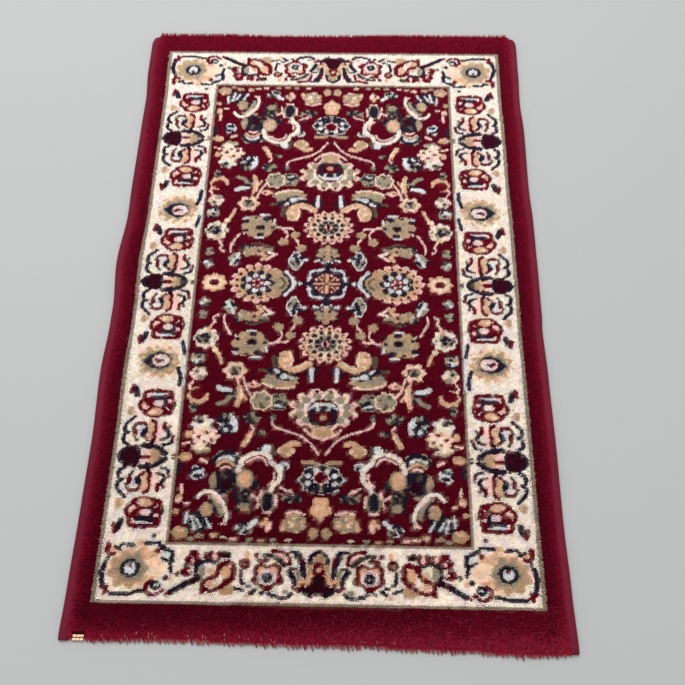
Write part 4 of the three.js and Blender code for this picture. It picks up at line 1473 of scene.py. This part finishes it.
@dataclass(frozen=True)
class Pile:
    """Cut pile: tufts of six strands each, which lean and splay more towards the rug's ends."""

    outline: Outline
    weave: Weave
    tufting: Tufting
    chart: Chart
    across: int = 3
    along: int = 2
    height: float = 9.5
    strand_height: float = 4.6
    lowest_root: float = 1.0
    strand_radius: float = 1.1
    radii: tuple[float, float] = (0.92, 1.12)
    wander: float = 0.3
    uneven_top: float = 0.28
    lean: tuple[float, float] = (0.25, 0.2)
    lean_spread: float = 0.35
    near_slant: tuple[float, float] = (0.9, 9.0)
    near_rim: Rim = Rim(lean=3.2, painted_light=0.7, fray=1.0)
    far_rim: Rim = Rim(lean=1.4, painted_light=0.45, fray=0.5)
    side_rim: Rim = Rim(lean=1.8, painted_light=0.4, fray=0.5)
    near_reach: tuple = ((-160, 220), (9, 22))
    far_reach: float = 18.0
    side_reach: float = 5.0
    side_painted_shade: PaintedShadeBand = PaintedShadeBand(0.14, 14, 5)
    near_painted_shade: PaintedShadeBand = PaintedShadeBand(0.13, 23, 9)
    side_profile: tuple = ((0, 2.5, 7), (0.8, 0.93, 1))
    near_profile: tuple = ((-8.5, -5, 0, 4, 9, 17), (0.4, 0.58, 0.78, 0.88, 0.96, 1))
    far_profile: tuple = ((-5, 0, 3, 8), (0.84, 0.92, 0.97, 1))
    stray: float = 0.1
    loose_tufts: tuple[float, float] = (0.015, 4.0)
    tuft_shade: tuple[float, float] = (0.12, 0.06)
    strand_shade: tuple[float, float] = (0.12, 0.7)
    streaks: tuple[float, float, float] = (0.02, 0.025, 0.035)
    frayed: tuple[float, float, float] = (0.03, 0.008, 0.012)
    bared: tuple[int, int, int] = (206, 160, 146)
    bared_share: float = 0.03
    bared_up_to: float = 90.0
    # root_depth and root_floor set the painted shade at the strands' roots
    root_depth: float = 1.0
    root_floor: float = 0.8
    cover: float = 3.7
    slab_steps: tuple[int, int] = (100, 180)
    slab_start: float = -452.0
    slab_length: float = 914.0
    parts: tuple[str, ...] = ("pile_near", "pile_near_middle", "pile_middle", "pile_far_middle", "pile_far")

    def colours(self, across: np.ndarray, along: np.ndarray, chances: np.random.Generator) -> np.ndarray:
        """Scene-linear colour at some places, uneven from tuft to tuft and from one row to the next.

        Args:
            across: Tufts from the rug's long middle line.
            along: Rows from its short middle line.
            chances: Source of the unevenness.

        Returns:
            One colour for each place.
        """
        share, further = self.loose_tufts
        stray = self.stray * (1 + further * (chances.random(len(across)) < share))
        yarns = self.chart.pick(across + stray * chances.normal(0, 1, len(across)),
                                along + stray * chances.normal(0, 1, len(across)))
        dyed = np.array([yarn.colour for yarn in YARNS])[yarns]
        column, row = np.floor(across).astype(int), np.floor(along).astype(int)
        pale = np.clip(2 * dyed[:, 1:2], 0, 1)
        tuft = chances.normal(0, 1, (self.weave.columns * 2 + 8, self.weave.rows * 2 + 8)).clip(-2.4, 2.4)
        streak = chances.normal(0, 1, (self.weave.columns + 4, self.weave.rows + 4, 3)).clip(-2, 2)
        dyed = dyed * (1 + (self.tuft_shade[0] - self.tuft_shade[1] * pale) * tuft[column, row][:, None])
        return dyed * (1 + pale * np.array(self.streaks) * streak[column // 2, row // 2])

    def from_rims(self, x: np.ndarray, y: np.ndarray) -> tuple[np.ndarray, np.ndarray, np.ndarray]:
        """Distances of some places from the cloth's rims.

        Args:
            x: Places across, in millimetres.
            y: Places along, in millimetres.

        Returns:
            How far in they lie from the nearest side, the near end and the far end.
        """
        from_side = np.minimum(x - self.outline.cloth_side(y, -1), self.outline.cloth_side(y, 1) - x)
        return from_side, y - self.outline.cloth_near(x), self.outline.cloth_far(x) - y

    def rim_height(self, x: np.ndarray, y: np.ndarray) -> np.ndarray:
        """Height of the pile's surface, which thins towards the rims.

        Args:
            x: Places across, in millimetres.
            y: Places along, in millimetres.

        Returns:
            The heights in millimetres.
        """
        from_side, from_near, from_far = self.from_rims(x, y)
        side, near = np.interp(from_side, *self.side_profile), np.interp(from_near, *self.near_profile)
        return self.height * side * near * np.interp(from_far, *self.far_profile)

    def slab_height(self, x: np.ndarray, y: np.ndarray) -> np.ndarray:
        """Height of the slab under the strands, in millimetres."""
        return np.maximum(self.rim_height(x, y) - self.cover, 1.0)

    def strands(self, zone: Zone) -> tuple[np.ndarray, np.ndarray, np.ndarray]:
        """Works out every strand of one zone.

        Args:
            zone: The part of the rug.

        Returns:
            Triangles of one strand, and the corners and colours of all of them.
        """
        chances = np.random.default_rng(SEED + list(Zone).index(zone))
        x, y, column, row = self.weave.grid(self.outline, zone)
        across = np.tile((np.arange(self.across) + 0.5) / self.across, self.along)
        along = np.repeat((np.arange(self.along) + 0.5) / self.along, self.across)
        colours = self.colours((column[:, None] + across).ravel(), (row[:, None] + along).ravel(), chances)
        x = (x[:, None] + (across - 0.5) * self.weave.pitch_x).ravel()
        y = (y[:, None] + (along - 0.5) * self.weave.pitch_y).ravel()
        count = len(x)
        spread, less = self.strand_shade
        shade = chances.normal(0, spread, (count, 1)).clip(-0.3, 0.35)
        colours = colours * (1 + (1 - less * colours[:, :1]) * shade)
        x += chances.normal(0, self.wander, count)
        y += chances.normal(0, self.wander, count)
        tip = self.rim_height(x, y) + chances.normal(0, self.uneven_top, count)
        from_side, from_near, from_far = self.from_rims(x, y)
        slant, fade = self.near_slant
        lean_x = (self.lean[0] + chances.normal(0, self.lean_spread, count)
                  + slant * np.exp(-np.clip(from_near, -9, None) / fade))
        lean_y = self.lean[1] + chances.normal(0, self.lean_spread, count)
        near = np.exp(-from_near.clip(0) / np.interp(x, *self.near_reach))
        far = np.exp(-from_far.clip(0) / self.far_reach)
        side = np.exp(-from_side.clip(0) / self.side_reach)
        lean_y -= self.near_rim.lean * near + self.far_rim.lean * far
        lean_x += np.sign(x) * self.side_rim.lean * side
        # Painted shade: dark yarn is darkened in a band in from the side and in from the near end
        painted_shade = self.side_painted_shade.share(from_side) + self.near_painted_shade.share(from_near)
        dark = np.clip(1 - 3 * colours[:, 1], 0, 1)
        # Painted light: the colour is brightened towards every rim
        painted_light = self.near_rim.painted_light * near + self.far_rim.painted_light * far + self.side_rim.painted_light * side
        fray = self.near_rim.fray * near + self.side_rim.fray * side + self.far_rim.fray * far
        colours = colours * (1 + painted_light - painted_shade * dark)[:, None] + np.array(self.frayed) * fray[:, None]
        if zone is Zone.NEAR:
            bared = (chances.random(count) < self.bared_share) & (x < self.bared_up_to)
            colours[bared] = linear(*self.bared)
        radius = self.strand_radius * chances.uniform(*self.radii, count)
        yaw = chances.uniform(0, 2 * math.pi, count)
        corners, faces = Strand().shape()
        up = corners[None, :, 2]
        cos, sin = np.cos(yaw)[:, None], np.sin(yaw)[:, None]
        px = x[:, None] + radius[:, None] * (corners[None, :, 0] * cos - corners[None, :, 1] * sin)
        py = y[:, None] + radius[:, None] * (corners[None, :, 0] * sin + corners[None, :, 1] * cos)
        length = np.minimum(self.strand_height, tip - self.lowest_root)[:, None]
        places = np.stack([px + lean_x[:, None] * up, py + lean_y[:, None] * up,
                           tip[:, None] - length * (1 - up)], -1)
        return faces, places, shaded(colours[:, None, :], up[..., None], self.root_depth, self.root_floor)

    def build(self) -> list[bpy.types.Object]:
        """Makes the tufts of the cloth as a few joined meshes, from the near end to the far end.

        Returns:
            The pieces in that order.
        """
        faces, places, colours = self.strands(Zone.CLOTH)
        limits = np.linspace(0, len(places), len(self.parts) + 1).astype(int)
        return [self.tufting.join(name, faces, places[start:stop], colours[start:stop])
                for name, start, stop in zip(self.parts, limits, limits[1:])]

    def dyed_slab(self, name: str, mesh: bpy.types.Mesh) -> bpy.types.Object:
        """Colours a slab under the strands by the chart, with the painted shade of their roots.

        Args:
            name: Name of the piece.
            mesh: The slab's mesh.

        Returns:
            The piece.
        """
        places = vertex_places(mesh) / MM
        across = (places[:, 0] - self.weave.middle[0]) / self.weave.pitch_x
        along = (places[:, 1] - self.weave.middle[1]) / self.weave.pitch_y
        colours = self.colours(across, along, np.random.default_rng(SEED + 9))
        return self.tufting.dress(name, mesh, shaded(colours, 0, self.root_depth, self.root_floor))

    def cloth_top(self, u: np.ndarray, v: np.ndarray) -> tuple[np.ndarray, np.ndarray, np.ndarray]:
        """Top of the slab under the cloth's pile.

        Args:
            u: Shares of the way across, from the left side.
            v: Shares of the way along, from the near end.

        Returns:
            The x, y and height there, in millimetres.
        """
        y = self.slab_start + self.slab_length * v
        left, right = self.outline.cloth_side(y, -1) + 0.4, self.outline.cloth_side(y, 1) - 0.4
        x = left + (right - left) * u
        near, far = self.outline.cloth_near(x) + 0.1, self.outline.cloth_far(x) - 0.1
        y = near + (far - near) * v
        return x, y, self.slab_height(x, y)

    def cloth(self) -> bpy.types.Object:
        """Makes the body of the cloth: a closed flat slab under the strands."""
        return self.dyed_slab("pile_cloth", closed_slab("pile_cloth", *self.slab_steps, self.cloth_top))


@dataclass(frozen=True)
class EndPile:
    """Ragged cut end: a narrow strip of backing, its pile, and the locks that hang or stand over its edge."""

    pile: Pile
    zone: Zone
    reach: float
    recess: float
    lock_root: tuple[float, float]
    lock_bend: tuple[float, float]
    lock_tip: float
    lean: float
    spread: float
    lean_spread: float = 0.5
    sway: float = 0.3
    end_row: float = 462.0
    strip_steps: tuple[int, int] = (160, 5)
    pitch: float = 4.7
    margins: tuple[float, float] = (1.5, 2.0)
    wander: float = 0.7
    lock_lengths: tuple[float, float] = (0.35, 1.0)
    lock_half: float = 2.3
    lock_rounding: float = 0.16
    hairs: int = 11
    hair_lengths: tuple[float, float] = (0.75, 1.08)
    hair_radius: float = 0.55
    hair_radii: tuple[float, float] = (0.7, 1.2)
    hair_flatness: float = 0.8
    fullness: float = 0.45
    root_shift: tuple[float, float] = (-1.6, 1.2)
    root_uneven: float = 0.25
    bend_uneven: float = 0.45
    tip_rise: tuple[float, float] = (0.1, 0.9)
    heights: tuple[float, float] = (0.12, 9.4)
    yarn: tuple[int, int, int] = (164, 20, 48)
    pale: tuple[int, int, int] = (226, 172, 160)
    pale_share: float = 0.45
    pale_from: float = 0.4
    # root_depth and root_floor set the painted shade at the locks' roots
    root_depth: float = 0.4
    root_floor: float = 0.6

    @property
    def outline(self) -> Outline:
        """The rug's outline."""
        return self.pile.outline

    @property
    def sign(self) -> int:
        """Which way outwards is along y."""
        return -1 if self.zone is Zone.NEAR else 1

    @property
    def span(self) -> tuple[float, float]:
        """Where the strip starts and ends across."""
        y = self.end_row * self.sign
        return float(self.outline.cloth_side(y, -1)) + 0.4, float(self.outline.cloth_side(y, 1)) - 0.6

    def edge(self, x: np.ndarray) -> np.ndarray:
        """Line where the strip stops and only loose tips go on.

        Args:
            x: Places across, in millimetres.

        Returns:
            The y of the line at each place.
        """
        if self.zone is Zone.NEAR:
            return self.outline.near(x) + self.outline.near_tips
        return self.outline.far(x) - self.outline.far_tips

    def strip_top(self, u: np.ndarray, v: np.ndarray) -> tuple[np.ndarray, np.ndarray, np.ndarray]:
        """Top of the strip of backing, lower towards its cut edge.

        Args:
            u: Shares of the way across, from the left side.
            v: Shares of the way along, from its near edge.

        Returns:
            The x, y and height there, in millimetres.
        """
        start, stop = self.span
        inner = self.outline.cloth_near if self.zone is Zone.NEAR else self.outline.cloth_far
        x = start + (stop - start) * u
        outer, cloth = self.edge(x) - self.sign * self.recess, inner(x) - self.sign * 0.1
        y = outer + (cloth - outer) * (v if self.zone is Zone.NEAR else 1 - v)
        return x, y, self.pile.slab_height(x, y)

    def strip(self) -> bpy.types.Object:
        """Makes the strip of backing under the end's pile."""
        name = f"end_strip_{self.zone.name.lower()}"
        return self.pile.dyed_slab(name, closed_slab(name, *self.strip_steps, self.strip_top))

    def locks(self) -> bpy.types.Object:
        """Makes the loose locks, each of several fine strands that bend from its root over to its tip.

        Returns:
            The piece.
        """
        chances = np.random.default_rng(SEED + 20 + self.sign)
        start, stop = self.span
        middles = np.arange(start + self.margins[0], stop - self.margins[1], self.pitch)
        if self.zone is Zone.NEAR:
            middles = middles[middles > self.outline.bare_spot[0] + self.outline.bare_spot[1] / 2 + 1]
        middles = middles + chances.normal(0, self.wander, len(middles))
        lengths = self.reach * chances.uniform(*self.lock_lengths, len(middles))
        lean = self.lean * chances.normal(1, self.lean_spread, len(middles))
        middle = np.repeat(middles, self.hairs)
        count = len(middle)
        spread = chances.uniform(-self.lock_half, self.lock_half, count)
        rounded = np.repeat(lengths, self.hairs) * (1 - self.lock_rounding * np.abs(spread))
        reach = rounded * chances.uniform(*self.hair_lengths, count)
        bend_x = middle + spread
        tip_x = middle + spread * self.spread + np.repeat(lean, self.hairs)
        tip_x += chances.normal(0, self.sway, count)
        edge = self.edge(bend_x)
        corners, faces = Strand(2, self.fullness).shape()
        up = corners[None, :, 2]
        first, second, third = (1 - up) ** 2, 2 * up * (1 - up), up ** 2
        inset = self.lock_root[0] + chances.uniform(*self.root_shift, count)
        root_y = (edge - self.sign * inset)[:, None]
        bend_y = (edge - self.sign * self.lock_bend[0])[:, None]
        tip_y = (edge + self.sign * reach)[:, None]
        root_z = (self.lock_root[1] + chances.normal(0, self.root_uneven, count))[:, None]
        bend_z = (self.lock_bend[1] + chances.normal(0, self.bend_uneven, count))[:, None]
        tip_z = (self.lock_tip + chances.uniform(*self.tip_rise, count))[:, None]
        x = first * (bend_x - 0.3)[:, None] + second * bend_x[:, None] + third * tip_x[:, None]
        y = first * root_y + second * bend_y + third * tip_y
        z = first * root_z + second * bend_z + third * tip_z
        radius = (self.hair_radius * chances.uniform(*self.hair_radii, count))[:, None]
        z = z + corners[None, :, 1] * radius * self.hair_flatness
        places = np.stack([x + corners[None, :, 0] * radius, y, z], -1)
        places[..., 2] = np.clip(places[..., 2], *self.heights)
        yarn = np.array(linear(*self.yarn)) * chances.normal(1.0, 0.25, (count, 1, 1)).clip(0.5, 1.6)
        pale = np.array(linear(*self.pale)) * chances.uniform(0.5, 1.0, (count, 1, 1))
        tipped = (chances.random((count, 1)) < self.pale_share)[..., None]
        share = tipped * np.clip((up[..., None] - self.pale_from) / (1 - self.pale_from), 0, 1)
        # Each lock is painted darker towards its root as painted shade; some have pale frayed tips
        colours = shaded(yarn, up[..., None], self.root_depth, self.root_floor) * (1 - share) + pale * share
        return self.pile.tufting.join(f"end_locks_{self.zone.name.lower()}", faces, places, colours)

    def build(self) -> list[bpy.types.Object]:
        """Makes the end's strip, its pile and its locks.

        Returns:
            The three pieces in that order.
        """
        faces, places, colours = self.pile.strands(self.zone)
        tufts = self.pile.tufting.join(f"end_tufts_{self.zone.name.lower()}", faces, places, colours)
        return [self.strip(), tufts, self.locks()]


@dataclass(frozen=True)
class BareSpot:
    """Small spot at the near left corner where the pile is gone and the cream backing shows in six cells."""

    outline: Outline
    cells: tuple[int, int] = (3, 2)
    gap: float = 0.45
    depth: float = 7.6
    outwards: float = 0.6
    height: float = 2.6
    rise: float = 0.9
    threads: int = 3
    thread_overlap: float = 0.56
    thread_sides: tuple[int, int] = (8, 6)

    def build(self, backing: bpy.types.Material, yarn: bpy.types.Material) -> bpy.types.Object:
        """Makes the spot: a slab of dark yarn ends with rounded cream threads over it, three to a cell.

        Args:
            backing: Material of the threads.
            yarn: Material of the slab.

        Returns:
            The piece.
        """
        middle, width = self.outline.bare_spot
        outer = float(self.outline.near(middle)) + self.outline.near_tips - self.outwards
        shape = bmesh.new()
        size = Matrix.Diagonal((width * MM, self.depth * MM, (self.height - FOOT) * MM, 1))
        centre = Vector((middle, outer + self.depth / 2, (self.height + FOOT) / 2)) * MM
        bmesh.ops.create_cube(shape, size=1.0, matrix=Matrix.Translation(centre) @ size)
        slab = set(shape.faces)
        sides, rings = self.thread_sides
        across, along = width / self.cells[0], self.depth / self.cells[1]
        pitch = (across - self.gap) / self.threads
        half_width, half_length = pitch * self.thread_overlap, (along - self.gap) / 2
        half = Matrix.Diagonal((half_width * MM, half_length * MM, self.rise * MM, 1))
        for column in range(self.cells[0]):
            for row in range(self.cells[1]):
                for thread in range(self.threads):
                    x = middle - width / 2 + column * across + self.gap / 2 + (thread + 0.5) * pitch
                    place = Matrix.Translation(Vector((x, outer + (row + 0.5) * along, self.height)) * MM)
                    bmesh.ops.create_uvsphere(shape, u_segments=sides, v_segments=rings, radius=1.0,
                                              matrix=place @ half)
        for face in shape.faces:
            face.material_index = 0 if face in slab else 1
            face.smooth = face not in slab
        return mesh_object("bare_spot", mesh_from("bare_spot", shape), yarn, backing)


@dataclass(frozen=True)
class LooseFibres:
    """Fine stray fibres that stand over the pile near the cut end, thickest at the right."""

    pile: Pile
    count: int = 1000
    radius: float = 0.11
    fullness: float = 0.6
    length: tuple[float, float] = (4.0, 11.0)
    half_width: float = 288.0
    crowding: float = 0.45
    start: float = -5.0
    reach: float = 12.0
    curl: float = 0.25
    rise: tuple[float, float] = (0.8, 1.7)
    sunk: float = 0.9
    colour: tuple[int, int, int] = (172, 58, 82)
    shades: tuple[float, float] = (0.4, 1.2)

    def build(self) -> bpy.types.Object:
        """Makes the fibres as soft arcs with both ends in the pile.

        Returns:
            The piece.
        """
        chances = np.random.default_rng(SEED + 40)
        x = -self.half_width + 2 * self.half_width * chances.random(self.count) ** self.crowding
        inwards = self.reach * chances.exponential(1.0, self.count).clip(0, 4)
        y = self.pile.outline.cloth_near(x) + self.start + inwards
        angle = chances.uniform(0, 2 * math.pi, self.count)
        length = chances.uniform(*self.length, self.count)
        corners, faces = Strand(2, self.fullness).shape()
        up = corners[None, :, 2]
        along = (up - 0.5) * length[:, None]
        curl = (chances.normal(0, self.curl, self.count) * length)[:, None] * 4 * up * (1 - up)
        cos, sin = np.cos(angle)[:, None], np.sin(angle)[:, None]
        px = x[:, None] + along * cos - curl * sin + corners[None, :, 0] * self.radius * sin
        py = y[:, None] + along * sin + curl * cos - corners[None, :, 0] * self.radius * cos
        top = self.pile.rim_height(x, y) - self.sunk
        rise = chances.uniform(*self.rise, self.count)
        pz = top[:, None] + rise[:, None] * 4 * up * (1 - up) + corners[None, :, 1] * self.radius
        colours = np.array(linear(*self.colour)) * chances.uniform(*self.shades, (self.count, 1, 1))
        return self.pile.tufting.join("loose_fibres", faces, np.stack([px, py, pz], -1),
                                      np.broadcast_to(colours, (self.count, len(corners), 3)))


@dataclass(frozen=True)
class Binding:
    """Overcast edge of one long side: yarn wrapped round and round over a cord."""

    outline: Outline
    side: str
    near: float
    far: float
    height: float = 6.8
    wave: tuple[float, float] = (0.25, 21.0)
    foot: float = 0.25
    rib_pitch: float = 2.5
    rib_depth: float = 0.35
    section_steps: int = 9
    slant: float = 0.8
    slant_run: float = 4.0
    power: float = 2.6
    start: float = 0.6
    overrun: float = 4.5
    corner: tuple[float, float] = (5.5, 16.0)
    end_taper: tuple = ((0, 1.5, 5), (0.55, 0.84, 1))
    narrowing: float = 0.25

    def build(self, material: bpy.types.Material) -> bpy.types.Object:
        """Makes the binding as one closed roll with a rib for every turn of the yarn.

        Args:
            material: Its yarn.

        Returns:
            The piece.
        """
        sign = -1 if self.side == "left" else 1
        rows = int((self.far - self.near) / self.rib_pitch) * 2
        shape = bmesh.new()
        bmesh.ops.create_grid(shape, x_segments=2 * self.section_steps, y_segments=rows, size=0.5)
        y0 = self.near + self.outline.shift[1] + self.start
        y1 = self.far + self.outline.shift[1] + self.overrun
        width = self.outline.binding_width
        for vert in shape.verts:
            turn = (vert.co.x + 0.5) * 2 * math.pi
            share = vert.co.y + 0.5
            y = y0 + (y1 - y0) * share
            end = min(share, 1 - share) * (y1 - y0)
            size = float(np.interp(end, *self.end_taper))
            rib = -self.rib_depth if round(share * rows) % 2 else 0.0
            reach = math.copysign(abs(math.cos(turn)) ** (2 / self.power), math.cos(turn))
            rise = abs(math.sin(turn)) ** (2 / self.power) * (1 if math.sin(turn) >= 0 else 0)
            turned_in = self.corner[0] * max(0.0, 1 - (y1 - y) / self.corner[1]) ** 2
            centre = float(self.outline.side(y, sign)) - sign * (width / 2 + turned_in)
            half = width / 2 * (1 - self.narrowing + self.narrowing * size) + rib
            high = (self.height + self.wave[0] * math.sin(y / self.wave[1])) * size + rib
            top = self.foot + rise * (high - self.foot)
            slanted = y + (self.slant * reach * min(1.0, end / self.slant_run) if rise else 0)
            vert.co = Vector((centre + sign * reach * half, slanted, top)) * MM
        bmesh.ops.remove_doubles(shape, verts=shape.verts, dist=1e-6)
        close_shape(shape)
        mesh = mesh_from(f"binding_roll_{self.side}", shape)
        mesh.shade_smooth()
        return mesh_object(f"binding_roll_{self.side}", mesh, material)


@dataclass(frozen=True)
class Studio:
    """The pale floor, the soft light and the camera where the photograph was taken from."""

    camera_place: tuple[float, float, float] = (0.0331, -0.4138, 0.8453)
    tilt: float = 68.49
    turn: float = 1.62
    roll: float = 0.68
    focal_pixels: float = 660.0
    image_pixels: float = 685.0
    sensor: float = 36.0
    floor_half: float = 6.0
    floor_drop: float = 0.0002
    sky_colour: tuple[float, float, float, float] = (0.97, 0.985, 1.0, 1.0)
    sky_strength: float = 1.08
    lamp_size: float = 2.4
    lamp_power: float = 80.0
    lamp_place: tuple[float, float, float] = (-0.6, 1.4, 2.6)

    def camera(self) -> bpy.types.Object:
        """Makes the camera.

        Returns:
            The camera.
        """
        data = bpy.data.cameras.new("camera")
        data.sensor_width = self.sensor
        data.lens = self.sensor * self.focal_pixels / self.image_pixels
        data.clip_start, data.clip_end = 0.01, 50
        camera = bpy.data.objects.new("camera", data)
        tilt = math.radians(self.tilt)
        turned, rolled = (Matrix.Rotation(-math.radians(angle), 3, "Z") for angle in (self.turn, self.roll))
        look = Matrix(((1, 0, 0),
                       (0, -math.sin(tilt), -math.cos(tilt)),
                       (0, math.cos(tilt), -math.sin(tilt))))
        axes = rolled @ look @ turned
        frame_axes = Matrix((axes[0], -axes[1], -axes[2])).transposed()
        camera.matrix_world = Matrix.Translation(self.camera_place) @ frame_axes.to_4x4()
        bpy.context.scene.collection.objects.link(camera)
        bpy.context.scene.camera = camera
        return camera

    def floor(self) -> bpy.types.Object:
        """Makes the floor.

        Returns:
            The floor.
        """
        shape = bmesh.new()
        bmesh.ops.create_grid(shape, x_segments=1, y_segments=1, size=self.floor_half,
                              matrix=Matrix.Translation((0, 0, -self.floor_drop)))
        floor = mesh_object("floor", mesh_from("floor", shape), FloorFinish().material())
        floor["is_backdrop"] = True
        return floor

    def light(self) -> None:
        """Makes a broad soft sky and one large soft lamp."""
        world = bpy.data.worlds.new("sky")
        world.use_nodes = True
        background = world.node_tree.nodes["Background"]
        background.inputs["Color"].default_value = self.sky_colour
        background.inputs["Strength"].default_value = self.sky_strength
        bpy.context.scene.world = world
        data = bpy.data.lights.new("soft lamp", "AREA")
        data.shape = "DISK"
        data.size = self.lamp_size
        data.energy = self.lamp_power
        lamp = bpy.data.objects.new("soft lamp", data)
        lamp.location = self.lamp_place
        lamp.rotation_euler = (Vector((0, 0, 0)) - lamp.location).to_track_quat("-Z", "Y").to_euler()
        bpy.context.scene.collection.objects.link(lamp)
        bpy.context.scene.view_settings.view_transform = "Standard"
        bpy.context.scene.view_settings.look = "None"


def dress(piece: bpy.types.Object, node: str = "") -> bpy.types.Object:
    """Fixes a piece to the rug, in the place of a frame node if one is named.

    Args:
        piece: The piece.
        node: Frame node that it takes the place of.

    Returns:
        The same piece.
    """
    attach(piece, "root")
    if node:
        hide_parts(node)
    LOG.info("%s: %d faces", piece.name, len(piece.data.polygons))
    return piece


def main() -> None:
    """Builds every sub-assembly in order."""
    logging.basicConfig(level=logging.INFO, format="%(message)s")
    cad_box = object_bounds()
    studio = Studio()
    studio.camera()
    studio.floor()
    studio.light()
    outline = Outline()
    low, high = cad_box
    pile = Pile(outline, Weave(), Tufting(YarnFinish().material(), low, high), draft_pattern())
    cloth = pile.cloth()
    tufts = pile.build()
    dress(cloth, "rug")
    for piece in tufts:
        dress(piece)
    binding_yarn = PlainYarnFinish("binding yarn", (105, 26, 44), (75, 11, 28)).material()
    for binding in (Binding(outline, "left", -461.5, 458.5), Binding(outline, "right", -466.5, 461.5)):
        dress(binding.build(binding_yarn), f"binding_{binding.side}")
    near = EndPile(pile, Zone.NEAR, reach=6.4, recess=3.0, lock_root=(7.0, 2.6), lock_bend=(1.0, 4.8),
                   lock_tip=0.18, lean=2.2, spread=0.5)
    far = EndPile(pile, Zone.FAR, reach=2.6, recess=0.8, lock_root=(2.4, 3.4), lock_bend=(0.4, 6.6),
                  lock_tip=7.6, lean=0.6, spread=0.8)
    bare = BareSpot(outline).build(
        PlainYarnFinish("bare backing", (250, 224, 186), (222, 182, 140)).material(),
        # The bare yarn ends are crimson yarn painted darker, as painted shade between the cream threads like
        # the pile's roots
        PlainYarnFinish("bare yarn ends", (92, 8, 26), (40, 3, 12)).material(),
    )
    ends = []
    for end, node in ((near, "end_pile_near"), (far, "end_pile_far")):
        strip, *loose = end.build()
        ends += [dress(strip, node), *(dress(piece) for piece in loose)]
    ends += [dress(bare), dress(LooseFibres(pile).build())]


if __name__ == "__main__":
    main()
